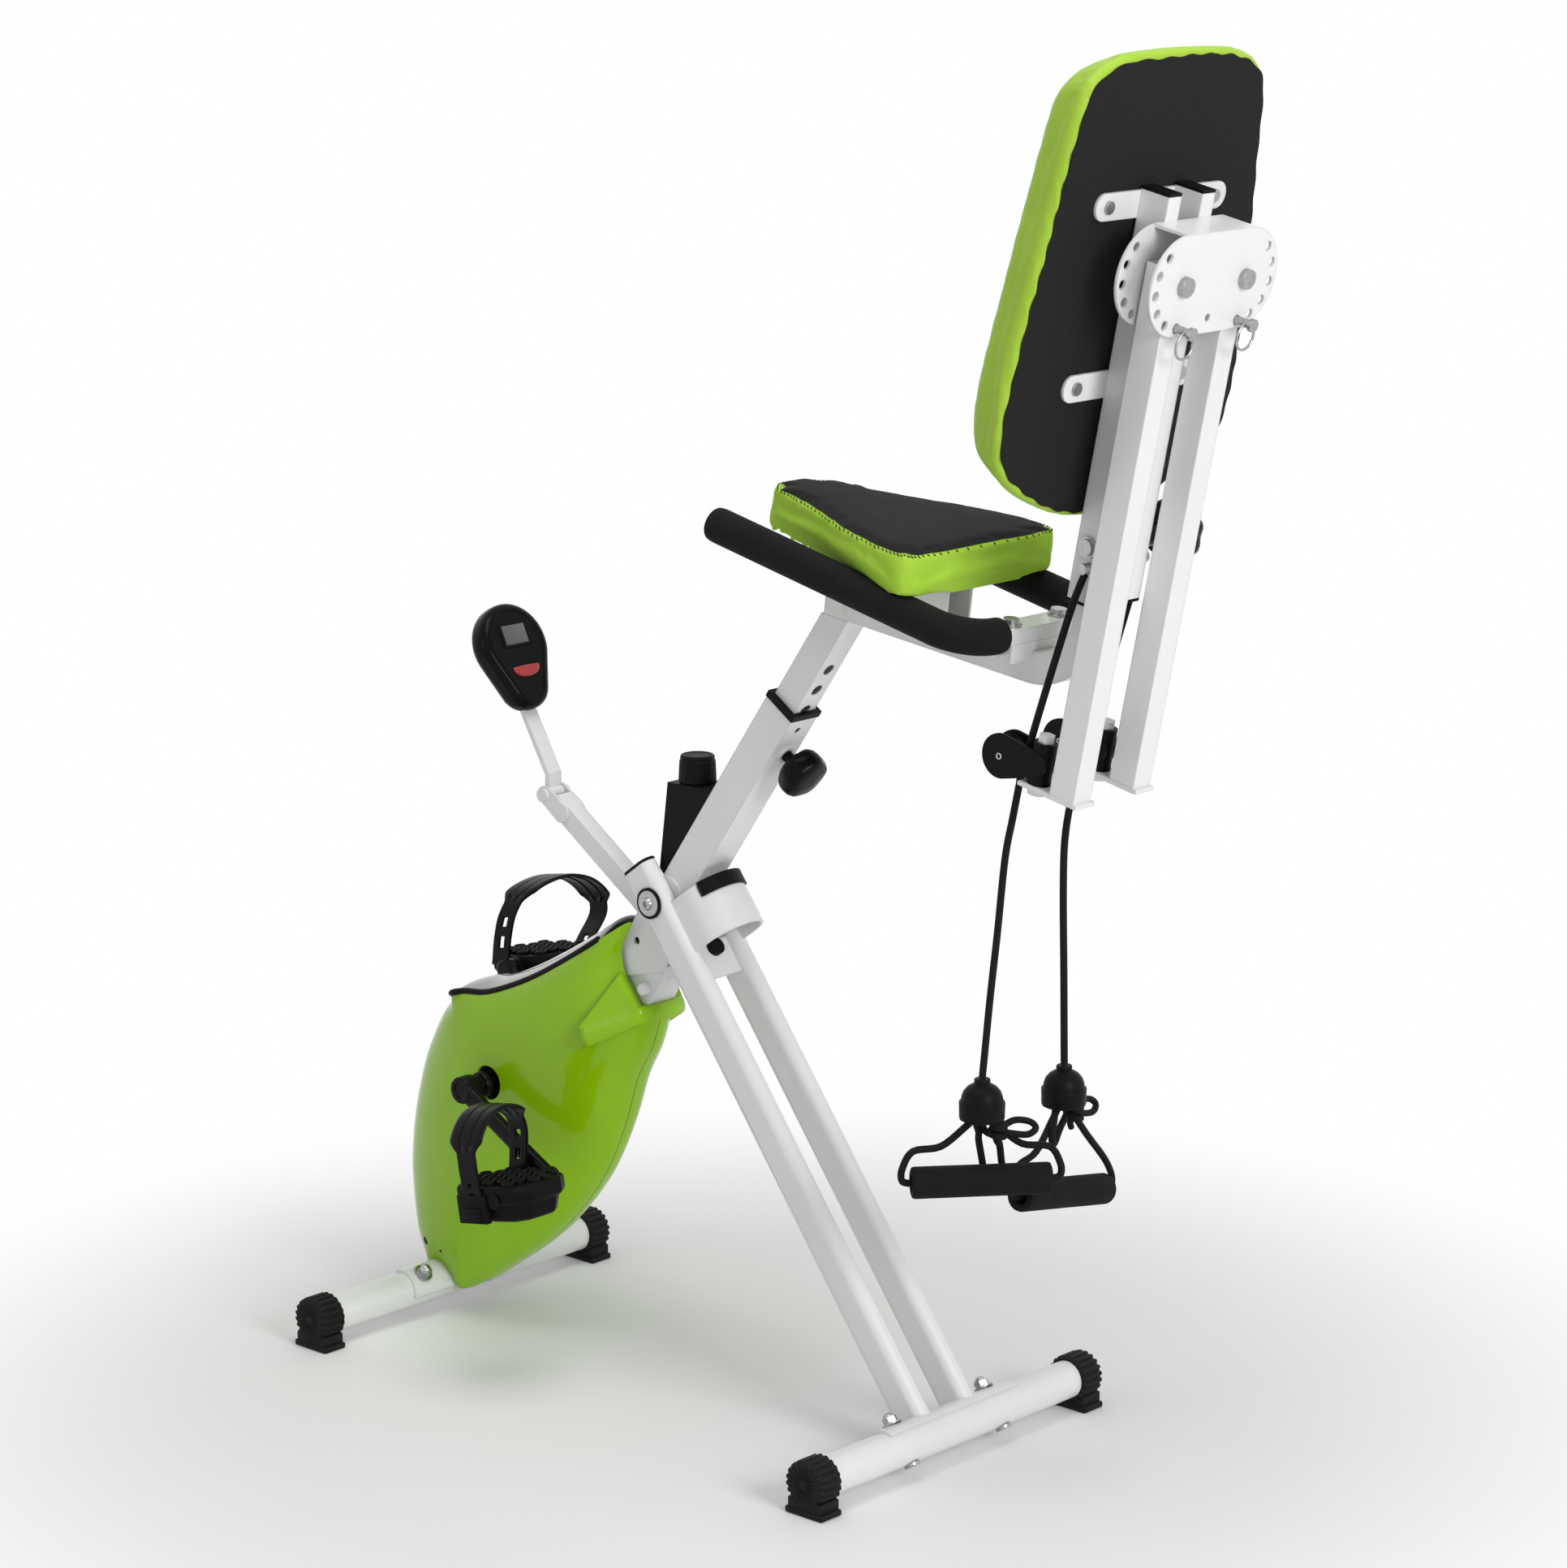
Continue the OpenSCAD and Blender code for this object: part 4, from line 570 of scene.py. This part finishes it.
for hand, side in (("left", 1), ("right", -1)):
    tread = Form(pedal_at[hand])
    tread.loft([[(p.x * k, p.y * k, z) for p in pedal_edge] for k, z in pedal_rows])
    for i in range(-3, 4):
        for j in range(-2, 3):
            x, y = stud_gap * i, row_gap * (j + 0.5 * (i % 2))
            if abs(y) < 31 and abs(x) + 0.8 * abs(y) < 60:
                tread.lathe(stud_profile, spot(x, y, 0), 16)
    for x in (-44, 44):
        tread.block((x - 3, -18, 0), (x + 3, 18, 12.5), 1)
    tread.block((-6, side * 41 - 5, -25), (34, side * 41 + 3, 4), 1.6)
    tread.block((1, side * 44 - 3, -24), (25, side * 44 + 2.5, -9), 1.2)
    tread.lathe(axle_boss, spot(0, -side * 40, 0) @ outward(-side), 32)
    tread.lathe(end_disc, spot(-16, side * 39.6, -2) @ outward(side), 32)
    tread.piece(hand + "_pedal_body", hand + "_foot", "black_pedal", pedal_rubber, (hand + "_pedal",))

# Pedal straps: soft moulded bands with three flat ribs over the foot, narrowing at square
# shoulders to legs with a row of buckle holes, and hooked under the buckle plate.
strap_vinyl, where = new_finish("strap_vinyl")
lay(strap_vinyl, Base_Color=where.grain(50).tint((0.002, 0.002, 0.0021, 1), (0.005, 0.005, 0.0051, 1)),
    Roughness=0.26 + 0.12 * where.grain(200), Specular_IOR_Level=0.1,
    Normal=where.relief(where.grain(1000), 0.00004))
strap_span, strap_foot, strap_tall, strap_wall = 83, 12, 72, 2.6
leg_half, band_extra, rib_high = 12.5, 10, 1.3
strap_line = {"left": [(-0.5, -0.12), (-0.5, 0.3), (-0.45, 0.66), (-0.26, 0.93), (0.06, 1.03), (0.34, 0.93),
                       (0.52, 0.64), (0.53, 0.34), (0.51, 0.06), (0.5, -0.12)],
              "right": [(-0.5, -0.12), (-0.5, 0.3), (-0.44, 0.66), (-0.22, 0.94), (0.24, 1.04), (0.66, 0.92),
                        (0.92, 0.64), (0.94, 0.36), (0.68, 0.06), (0.5, -0.12)]}
strap_slant = {"left": (34, 22), "right": (24, 38)}
across = (-1, -0.9, -0.72, -0.42, -0.38, -0.3, -0.26, 0, 0.26, 0.3, 0.38, 0.42, 0.72, 0.9, 1)
groove = (0, 0.8, 1, 1, 0.1, 0.1, 1, 1, 1, 0.1, 0.1, 1, 1, 0.8, 0)
plumb = tan(radians(pedal_turn))


def buckle_hole(i, j):
    return 5 <= j <= 8 and any(a <= i <= b for a, b in ((5, 7), (11, 13), (64, 66), (70, 72)))


for hand, side in (("left", 1), ("right", -1)):
    line = smooth_run([(0, y * strap_span, strap_foot + z * strap_tall) for y, z in strap_line[hand]], 8)
    start_x, slant = strap_slant[hand]
    grid = []
    for i, p in enumerate(line):
        t = i / (len(line) - 1)
        ahead = (line[min(i + 1, len(line) - 1)] - line[max(i - 1, 0)]).normalized()
        out = Vector((0, -ahead.z, ahead.y))
        broad = min(1, max(0, (t - 0.27) / 0.05)) * min(1, max(0, (0.72 - t) / 0.05))
        half = leg_half + band_extra * broad
        middle = start_x - slant * t - plumb * p.z
        grid.append([(middle + half * u, side * (p.y + out.y * rib_high * g * broad),
                      p.z + out.z * rib_high * g * broad) for u, g in zip(across, groove)])
    band = Form(pedal_at[hand])
    band.net(grid, cut=buckle_hole)
    made = band.piece(hand + "_strap_band", hand + "_foot", "black_rubber", strap_vinyl, (hand + "_strap",),
                      crease=40)
    thicken(made, strap_wall, 0)

# Tension knob: a moulded black knob with fine ribs round its skirt and a smooth cap, pressed on
# the spindle that comes out of the tension box on the main tube.
tube_lean, rib_count = 34.8, 36
tube_at = spot(131.158, 0, 497.859) @ turn(-tube_lean, "Y")
knob = Form(tube_at @ spot(49.4, 0, 112) @ turn(tube_lean, "Y"))
knob.lathe([(0.5, 0.5), (17, 0.5), (18.2, 1.6), (18.4, 4), (17.6, 21)], sides=4 * rib_count,
           lobes=lambda a: 1 + 0.02 * (cos(rib_count * a) > 0))
knob.lathe([(0.5, 20), (17.9, 20.6), (17.9, 22.4), (17.2, 23)], sides=72)
knob.lathe([(0.5, 22), (17.1, 22.6), (17, 26.4), (16, 27.9), (14.2, 28.4), (13.4, 27.6), (0.5, 27.4)],
           sides=72)
knob.piece("tension_knob_grip", "tension", "black_plastic", black_mould, ("tension_knob",))

# Pull knob: a five-lobed knob of glossy black plastic, moulded on the sprung pin that locks the
# seat post, with a round flange and a thin neck where it enters the seat tube.
black_gloss, where = new_finish("black_gloss")
lay(black_gloss, Base_Color=where.grain(25).tint((0.003, 0.003, 0.0032, 1), (0.005, 0.005, 0.0052, 1)),
    Roughness=0.16 + 0.08 * where.grain(120), Specular_IOR_Level=0.08,
    Normal=where.relief(where.grain(300), 0.00003))
lobe_profile = ((0.3, 0), (0.72, 0), (0.86, 0.07), (0.97, 0.25), (1, 0.5), (0.97, 0.74), (0.88, 0.9),
                (0.72, 0.98), (0.3, 1))


def lobed_knob(form, radius, low, high, count, dip):
    rows = [(k * radius, low + t * (high - low)) for k, t in lobe_profile]
    form.lathe(rows, sides=120, lobes=lambda a: 1 - dip + dip * cos(count * a))


pull = Form(tube_at @ spot(0, 0, 216) @ turn(-90, "Y"))
lobed_knob(pull, radius=25.6, low=35.2, high=60, count=5, dip=0.035)
pull.lathe([(0.5, 31.2), (11, 31.2), (12, 32), (12, 35), (9, 37), (0.5, 37)])
pull.lathe([(0.5, 18.4), (5.8, 18.4), (5.8, 31.6), (0.5, 31.6)])
pull.piece("pull_knob_grip", "height_knob", "black_plastic", black_gloss, ("pull_knob",))

# Clamp knob: a seven-lobed hand knob in the same glossy plastic, moulded round the head of the
# bolt that clamps the foot of the back posts.
back_at = spot(-403.83, 0, 915.701) @ turn(-11.7, "Y")
clamp = Form(back_at @ turn(90, "X"))
lobed_knob(clamp, radius=30.5, low=78, high=104, count=7, dip=0.05)
clamp.lathe([(5.2, 33.5), (10, 33.5), (10, 71), (14, 72.5), (14, 78), (5.2, 78)])
clamp.piece("clamp_knob_grip", "clamp_knob", "black_plastic", black_gloss, ("back_knob",))

# Console: a teardrop case moulded in two halves, with a soft front edge, a fine line round the
# face plate, a sunk grey window and a red push button.
case_at = spot(363.614, 0, 705.482) @ turn(25.7, "Y")
case_top, case_low, case_reach, case_high = 43, 27, 42, 16
window_high = 24.5
case_profile = [(22, -13.4), (10.4, -13.6), (9.8, -13.6), (9.5, -14.2), (9.0, -14.3), (7, -14.1),
                (4.6, -13.3), (2.6, -11.9), (1, -9.6), (0.2, -7), (0, -5), (0.5, -4.7), (0.5, -4.3), (0, -4),
                (0, 2), (0.6, 6), (2.2, 9.6), (4.8, 12.2), (8.5, 13.7), (13, 14), (22, 14)]
bezel_rows = ((-13.4, 20, 13.4), (-14.7, 19.4, 12.8), (-14.7, 16.8, 11.2), (-13.8, 15.4, 9.8))


def teardrop(inset, depth):
    a, b = case_top - inset, case_low - inset
    lean = asin((a - b) / case_reach)
    arc = [(a, case_high, -lean + (pi + 2 * lean) * i / 40) for i in range(41)]
    arc += [(b, case_high - case_reach, pi + lean + (pi - 2 * lean) * i / 24) for i in range(25)]
    return [(depth, r * cos(t), z + r * sin(t)) for r, z, t in arc]


case = Form(case_at)
case.loft([teardrop(inset, depth) for inset, depth in case_profile])
case.loft([[(depth, y * wide, window_high + z * tall) for y, z in ((-1, -1), (1, -1), (1, 1), (-1, 1))]
           for depth, wide, tall in bezel_rows], loop=True)
for y in (-14, 14):
    case.lathe([(0.3, 13), (3.6, 13), (3.4, 14.6), (0.3, 14.8)], spot(0, y, -36) @ turn(90, "Y"), 24)
case.piece("console_body", "console", "black_plastic", black_gloss, ("console_case",))

display, where = new_finish("display")
# The window colour is painted lighter towards its top edge: a painted sheen of light on the glass.
window_top_sheen = where.along((0.433, 0, 0.901)).ramp(0.79, 0.83)
lay(display, Base_Color=window_top_sheen.tint((0.05, 0.053, 0.052, 1), (0.075, 0.08, 0.078, 1)), Roughness=0.12,
    Coat_Weight=0.6, Normal=where.relief(where.grain(200), 0.00002))
window = Form(case_at)
window.block((-13.95, -15.6, window_high - 10.1), (-13.2, 15.6, window_high + 10.1), 0.3)
window.piece("console_window", "console", "display", display, ("console_lens",))

red_gloss, where = new_finish("red_gloss")
lay(red_gloss, Base_Color=where.grain(80).tint((0.33, 0.012, 0.012, 1), (0.42, 0.018, 0.016, 1)),
    Roughness=0.3, Coat_Weight=0.2, Normal=where.relief(where.grain(500), 0.00003))
push_half, push_edge, push_deep, push_z = 18, 4.5, 11.5, -14
crescent = [(push_half * (i / 12 - 1), push_edge + 0.8 * sin(pi * i / 24)) for i in range(25)]
crescent += [(push_half * cos(pi * i / 32), push_edge - push_deep * sin(pi * i / 32) ** 0.8)
             for i in range(1, 32)]
push_rows = ((-9, 1), (-14.4, 1), (-15.4, 0.95), (-15.8, 0.84), (-15.9, 0.5), (-15.9, 0.05))
button = Form(case_at)
button.loft([[(depth, y * k, push_z + 0.5 + (z - 0.5) * k) for y, z in crescent] for depth, k in push_rows])
button.piece("console_push", "button", "red_button", red_gloss, ("console_button",), crease=50)

# Saddle: foam on a board under sewn vinyl, with a black top panel, a green boxing band round the
# side, and a stitched seam between the two. The foam is filled by a short cloth run.
rail_at = spot(-73.68, 0, 826.384) @ turn(-7.5, "Y")
rail_up = (-0.130526, 0, 0.991445)
seat_nose, seat_long, seat_half, seat_foot, seat_tall = 78, 257, 112, 60, 40
seam_high, seam_blur = 0.0955, 0.0004
seat_mid = seat_nose - 0.62 * seat_long
seat_side = [(0, 0.1), (0.01, 0.2), (0.06, 0.33), (0.16, 0.41), (0.3, 0.53), (0.46, 0.69), (0.62, 0.85),
             (0.78, 0.96), (0.9, 1), (0.97, 0.95), (1, 0.8), (1.01, 0.4)]
seat_rows = ((0.3, 1, 0.02), (0.92, 0.8, 0.02), (0.95, 0.82, -0.1), (0.975, 0.86, -0.1), (0.98, 0.92, 0.15),
             (0.985, 0.97, 0.5), (0.985, 1, 0.8), (0.984, 1, 0.86), (0.975, 1, 0.9), (0.8, 1, 0.94),
             (0.5, 1, 0.975), (0.2, 1, 0.985))


def both_sides(half_line, steps):
    there = [(a, b, 0) for a, b in half_line]
    back = [(a, -b, 0) for a, b in reversed(half_line)]
    return smooth_loop(there + back, steps)


seat_line = both_sides(seat_side, 5)


def seat_ring(k, w, h):
    ring = []
    for p in seat_line:
        draw = sin(pi * max(0, min(1, (p.x - 0.3) / 0.66)))
        x = seat_nose - p.x * seat_long
        y = p.y * seat_half * k * (1 - (1 - w) * draw)
        ring.append((seat_mid + (x - seat_mid) * k, y, seat_foot + h * seat_tall))
    return ring


def remeshed(pad, voxel):
    shrink = pad.modifiers.new("voxels", "REMESH")
    shrink.mode, shrink.voxel_size = "VOXEL", voxel
    tight = bpy.data.meshes.new_from_object(pad.evaluated_get(bpy.context.evaluated_depsgraph_get()))
    pad.modifiers.remove(shrink)
    tight.name = pad.name
    pad.data = tight


def fill(pad, held, cap, pressure=4, steps=20):
    start = [v.co.copy() for v in pad.data.vertices]
    fixed = pad.vertex_groups.new(name="held")
    fixed.add([i for i, co in enumerate(start) if held(co)], 1.0, "REPLACE")
    cloth = pad.modifiers.new("cloth", "CLOTH")
    cloth.settings.use_pressure = True
    cloth.settings.uniform_pressure_force = pressure
    cloth.settings.vertex_group_mass = "held"
    cloth.settings.effector_weights.gravity = 0
    for step in range(1, steps + 1):
        scene.frame_set(step)
    full = pad.evaluated_get(bpy.context.evaluated_depsgraph_get()).data
    moved = [v.co.copy() for v in full.vertices]
    scene.frame_set(1)
    pad.modifiers.remove(cloth)
    for v, a, b in zip(pad.data.vertices, start, moved):
        shift = b - a
        v.co = a + shift * min(1, cap / max(shift.length, 1e-9))


def finished_pad(pad, body, material, stands_for):
    pad.data.shade_smooth()
    pad.data.materials.clear()
    pad.data.materials.append(material)
    round_off = pad.modifiers.new("round", "SUBSURF")
    round_off.levels = round_off.render_levels = 1
    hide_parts(stands_for)
    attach(pad, body)


saddle_vinyl, where = new_finish("saddle_vinyl")
height = where.along(rail_up) - (rail_at.translation.dot(Vector(rail_up)) + seam_high)
top_panel = height.ramp(-seam_blur, seam_blur)
pebble = where.cells(700)
crease = where.grain(26, 3)
green_vinyl = crease.tint((0.37, 0.63, 0.05, 1), (0.43, 0.69, 0.07, 1))
black_vinyl = crease.tint((0.008, 0.008, 0.0083, 1), (0.013, 0.013, 0.0133, 1))
lay(saddle_vinyl, Base_Color=top_panel.tint(green_vinyl, black_vinyl), Roughness=0.58 + 0.14 * pebble,
    Specular_IOR_Level=0.08, Normal=where.relief(0.7 * pebble + 3 * crease, 0.00016))
saddle_form = Form(rail_at)
saddle_form.loft([seat_ring(*row) for row in seat_rows])
saddle = saddle_form.piece("saddle_pad", None, "seat_vinyl", saddle_vinyl)
remeshed(saddle, 0.0038)
under = rail_at.inverted()
fill(saddle, held=lambda co: (under @ co).z < 0.068, cap=0.0025)
finished_pad(saddle, "seat", saddle_vinyl, "seat_cushion")

thread_black, where = new_finish("thread_black")
twist = where.grain(900, 1)
lay(thread_black, Base_Color=twist.tint((0.006, 0.006, 0.006, 1), (0.014, 0.014, 0.014, 1)), Roughness=0.8,
    Normal=where.relief(twist, 0.0001))
stitch_gap, thread_r = 6.5, 0.55


def carried(at, point):
    return at @ (Vector(point) * MM) / MM


def even_spots(loop, gap):
    spots, need = [], 0.0
    for a, b in zip(loop, loop[1:] + loop[:1]):
        need -= (b - a).length
        if need <= 0:
            spots.append(b)
            need += gap
    return spots


def stitch_row(name, pad, material, around, middle, lean):
    skin = BVHTree.FromPolygons([v.co for v in pad.data.vertices],
                                [tuple(f.vertices) for f in pad.data.polygons])
    row = Form(Matrix())
    for start in around:
        hit, facing = skin.ray_cast(start * MM, (middle - start).normalized())[:2]
        if hit:
            run = lean * 1.3 + facing.cross(lean).normalized() * 1.5
            at = hit / MM + facing * 0.1
            sunk = facing * 0.6
            row.tube([at - run - sunk, at - 0.5 * run, at + 0.5 * run, at + run - sunk], thread_r, 6)
    row.piece(name, "seat", "seat_vinyl", material, crease=70)


seam_loop = even_spots([carried(rail_at, p) for p in seat_ring(1.08, 1, 0.86)], stitch_gap)
seam_mid = carried(rail_at, (-45, 0, 94.4))
stitch_row("saddle_stitches", saddle, thread_black, seam_loop, seam_mid, Vector(rail_up))

# Handlebar grips: closed-cell foam sleeves, slid on from the open ends of the handlebar and
# pushed round both bends, with rounded ends.
bar_at = spot(-315.804, 0, 826.784) @ turn(-13.3, "Y")
bar_half, bend_r, sleeve_r = 95, 40, 17
foam, where = new_finish("foam")
cell = where.cells(900)
dust = where.grain(40, 3)
lay(foam, Base_Color=dust.tint((0.005, 0.005, 0.0053, 1), (0.01, 0.01, 0.0103, 1)),
    Roughness=0.72 + 0.2 * cell, Specular_IOR_Level=0.14, Normal=where.relief(cell, 0.00025))
radii = [9, 13, 16.2] + [sleeve_r] * 22 + [16.6, 14]
grips = Form(bar_at)
for side in (1, -1):
    straight = [(x, side * bar_half, 0) for x in (320, 319.4, 317, 312, 290, 240, 190, 140, 90, 60)]
    bend = [(bend_r * (1 - sin(a)), side * (bar_half - bend_r + bend_r * cos(a)), 0)
            for a in (pi / 2 * i / 14 for i in range(15))]
    grips.tube(straight + bend + [(0, side * 51, 0), (0, side * 50.4, 0)], radii, 28)
grips.piece("handlebar_grips", "seat", "black_foam", foam, ("handlebar_foam",), crease=60)

# Backrest: foam on a board, a green boxing band drawn round to the rear, a woven black sheet
# stapled over its edge behind, and a black front panel. The foam is filled by a short cloth run.
back_fw = (0.979223, 0, 0.202787)
back_gap, back_half, back_tall, back_top, panel_deep = 16, 167, 425, 444, 0.064
back_mid = -0.55 * back_tall
back_side = [(-0.01, 0.3), (0, 0.52), (0.03, 0.69), (0.09, 0.78), (0.28, 0.86), (0.5, 0.94), (0.68, 1),
             (0.79, 1), (0.87, 0.93), (0.93, 0.72), (0.98, 0.42), (1, 0.15)]
back_rows = ((0.3, 1.2), (0.965, 1.2), (0.985, 4), (0.99, 12), (0.975, 27), (0.945, 41), (0.9, 50),
             (0.81, 55), (0.6, 58), (0.25, 58.6))
back_line = both_sides(back_side, 6)


def back_ring(k, depth):
    return [(back_gap + depth, -p.y * back_half * k, back_top + back_mid + (-p.x * back_tall - back_mid) * k)
            for p in back_line]


back_vinyl, where = new_finish("back_vinyl")
front = where.along(back_fw) - (back_at.translation.dot(Vector(back_fw)) + panel_deep)
pebble = where.cells(700)
crease = where.grain(22, 3)
green_vinyl = crease.tint((0.32, 0.53, 0.04, 1), (0.38, 0.58, 0.055, 1))
black_vinyl = crease.tint((0.008, 0.008, 0.0083, 1), (0.013, 0.013, 0.0133, 1))
lay(back_vinyl, Base_Color=front.ramp(-seam_blur, seam_blur).tint(green_vinyl, black_vinyl),
    Roughness=0.4 + 0.14 * pebble, Specular_IOR_Level=0.2,
    Normal=where.relief(0.7 * pebble + 3 * crease, 0.00016))
back_form = Form(back_at)
back_form.loft([back_ring(*row) for row in back_rows])
backrest = back_form.piece("backrest_pad", None, "seat_vinyl", back_vinyl)
remeshed(backrest, 0.005)
behind = back_at.inverted()
fill(backrest, held=lambda co: (behind @ co).x < 0.026, cap=0.004)
finished_pad(backrest, "seat", back_vinyl, "back_cushion")

woven, where = new_finish("woven")
warp = where.node("ShaderNodeTexWave", {"bands_direction": "Y"}, {"Vector": where, "Scale": 190.0})
weft = where.node("ShaderNodeTexWave", {"bands_direction": "Z"}, {"Vector": where, "Scale": 190.0})
thread = warp * weft
lay(woven, Base_Color=thread.tint((0.008, 0.0078, 0.0078, 1), (0.022, 0.021, 0.021, 1)), Roughness=0.85,
    Specular_IOR_Level=0.2, Normal=where.relief(thread + 2 * where.grain(30, 3), 0.0003))
sheet_rows = ((0.972, 1.6, 3), (0.972, 1, 3), (0.967, 0.35, 3), (0.955, 0.15, 2), (0.6, 0.15, 0),
              (0.2, 0.15, 0))
sheet_line = [Vector((-p.y * back_half, -p.x * back_tall - back_mid)) for p in both_sides(back_side, 18)]


def sheet_ring(k, depth, wave):
    ring, walk, last = [], 0, sheet_line[0]
    for at in sheet_line:
        walk += (at - last).length
        last = at
        tuck = 0.5 + 0.3 * sin(2 * pi * walk / 31 + 1.6 * sin(walk / 53)) + 0.2 * sin(walk / 19)
        drawn = at * (k - wave * tuck / at.length)
        ring.append((back_gap + depth, drawn.x, back_top + back_mid + drawn.y))
    return ring


sheet = Form(back_at)
sheet.loft([sheet_ring(*row) for row in sheet_rows])
sheet.piece("backrest_rear_sheet", "seat", "seat_vinyl", woven)

# Pulley rivets: hollow steel rivets under bright zinc, pushed through each pulley block and
# rolled over on both cheeks, on which the wheel inside turns.
rivet_profile = [(1.5, 12), (3.3, 12.7), (3.4, 13.4), (2.9, 14), (2.1, 14), (1.6, 13.4), (1.5, 12.4)]
for hand, side in (("left", 1), ("right", -1)):
    rivets = Form(spot(-322.85, side * 43.5, 716.99))
    for way in (1, -1):
        rivets.lathe(rivet_profile, outward(way), 28)
    rivets.piece(hand + "_pulley_rivets", hand + "_swing", "zinc_steel", zinc)

# Pull cords: elastic cores in a woven black sheath. The upper run goes taut from the clip on the
# back post through the pulley block, and the lower run hangs from the block to the handle.
cord_sheath, where = new_finish("cord_sheath")
braid = where.node("ShaderNodeTexWave", {"bands_direction": "DIAGONAL"},
                   {"Vector": where, "Scale": 260.0, "Distortion": 3.0})
lay(cord_sheath, Base_Color=braid.tint((0.004, 0.004, 0.0042, 1), (0.01, 0.01, 0.0102, 1)), Roughness=0.7,
    Specular_IOR_Level=0.15, Normal=where.relief(braid, 0.0003))
cord_wide = 7
upper_run = [(-7, 40, -22.5), (-2, 42.5, -51), (6, 43.5, -111), (14.5, 43.5, -176), (20.5, 43.5, -232)]
drop_run = {"left": [(0, 0, -0.9), (5.3, 2.7, -33.8), (10.4, 6.8, -71.5), (13.7, 12.6, -140.9),
                     (15, 20.4, -200.4), (15.1, 26.5, -246), (15.4, 30.2, -275.8)],
            "right": [(0, 0, -0.9), (10, -1, -32), (17, -1, -72), (18, -1, -122), (16, -1, -200),
                      (14, -1, -288)]}
cord_exit = {hand: Vector((-336.709, side * 43.5, 692.678)) for hand, side in (("left", 1), ("right", -1))}


def run_length(path):
    return sum((b - a).length for a, b in zip(path, path[1:]))


def cord(name, path_mm, node_name):
    form = Form(Matrix())
    form.tube(path_mm, cord_wide / 2, 12)
    made = form.piece(name, None, "black_cord", cord_sheath, (node_name,), crease=60)
    path = [p * MM for p in path_mm]
    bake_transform(made)
    run_length(path)


for hand, side in (("left", 1), ("right", -1)):
    above = smooth_run([carried(back_at, (x, side * y, u)) for x, y, u in upper_run], 6)
    cord(hand + "_cord_taut", above, hand + "_cord_upper")
    below = smooth_run([cord_exit[hand] + Vector(p) for p in drop_run[hand]], 5)
    cord(hand + "_cord_hanging", below, hand + "_cord_lower")

# Handles: a two-step moulded stop ball on the cord, a rope triangle tied under it with a slip
# knot, and a hollow foam grip that the rope runs through.
rope_r, tail_r, knot_y = 3.4, 3.2, -15
ball_profile = [(3.6, 0), (7, 0), (7.6, -1), (7.4, -4.5), (9.5, -5.4), (14, -8.2), (17.5, -12.4),
                (19.3, -17.4), (19.8, -21.6), (21.3, -22), (21.5, -23), (21.2, -37), (20.6, -38.6),
                (19, -39.4), (10, -39.6), (0.5, -39.6)]
half_grip = [(8, 52), (8, 64.6), (9, 65.4), (12.4, 65.6), (14.3, 64.8), (15, 62.6), (15, 40), (14.9, 0)]
grip_profile = half_grip + [(r, -h) for r, h in reversed(half_grip[:-1])]
slack = [(0, 12, -38), (-4, 19, -50), (-4, 22, -66), (-2, 16, -73), (0, 6, -62), (0, -4, -50)]
bow = [(0, -4, -47), (3, -16, -42), (4, -30, -44), (2, -36, -50), (-1, -28, -55), (-2, -12, -53),
       (0, -2, -51)]
tail = [(0, 2, -52), (3, 1, -60), (5, -3, -66)]
for hand, drop, yaw, tilt in (("left", 98, -40.5, 0), ("right", 125, 0, 10)):
    cord_end = cord_exit[hand] + Vector(drop_run[hand][-1])
    at = spot(cord_end.x, cord_end.y, cord_end.z - 0.9)
    ball = Form(at)
    ball.lathe(ball_profile, sides=64)
    ball.piece(hand + "_stop_ball", hand + "_grip", "black_plastic", black_mould, (hand + "_handle",),
               crease=35)
    swing = at @ turn(yaw, "Z")
    rise, fall = tan(radians(tilt)), drop - 36
    rope = Form(swing)
    for end in (1, -1):
        route = [(0, end * 6, -37), (1, end * 16, -37 - fall * 0.16), (2, end * 38, -36 - fall * 0.46)]
        route += [(x, end * y, z - drop + end * y * rise)
                  for x, y, z in ((1, 64, 30), (0, 74, 14), (0, 74.5, 3), (0, 69, 0), (0, 60, 0))]
        rope.tube(smooth_run(route, 5), rope_r, 10)
    if hand == "left":
        for y0, y1 in ((1, -22), (7, -4)):
            strand = [(7, y0, -38), (12, y0 - 6, -54), (17, y1 + 4, 34 - drop), (19, y1, 12 - drop),
                      (17, y1 - 2, -4 - drop)]
            rope.tube(smooth_run(strand, 4), rope_r, 10)
    else:
        rope.tube(smooth_run(slack, 5), rope_r, 10)
    for i in range(3):
        coil = [(0.7 * t + 2.1 * i, -41 - 4.6 * i - 0.55 * t) for t in range(10)]
        rope.tube([(7.5 * cos(a), knot_y + 6.2 * sin(a), z) for a, z in coil], rope_r, 10)
    for strand, steps in ((bow, 5), (tail, 4)):
        rope.tube(smooth_run([(x, knot_y + y, z) for x, y, z in strand], steps), tail_r, 10)
    rope.piece(hand + "_handle_rope", hand + "_grip", "black_cord", cord_sheath, crease=60)
    grip = Form(swing @ spot(0, 0, -drop) @ turn(tilt - 90, "X"))
    grip.lathe(grip_profile, sides=36)
    grip.piece(hand + "_hand_grip", hand + "_grip", "handle_foam", foam, crease=60)
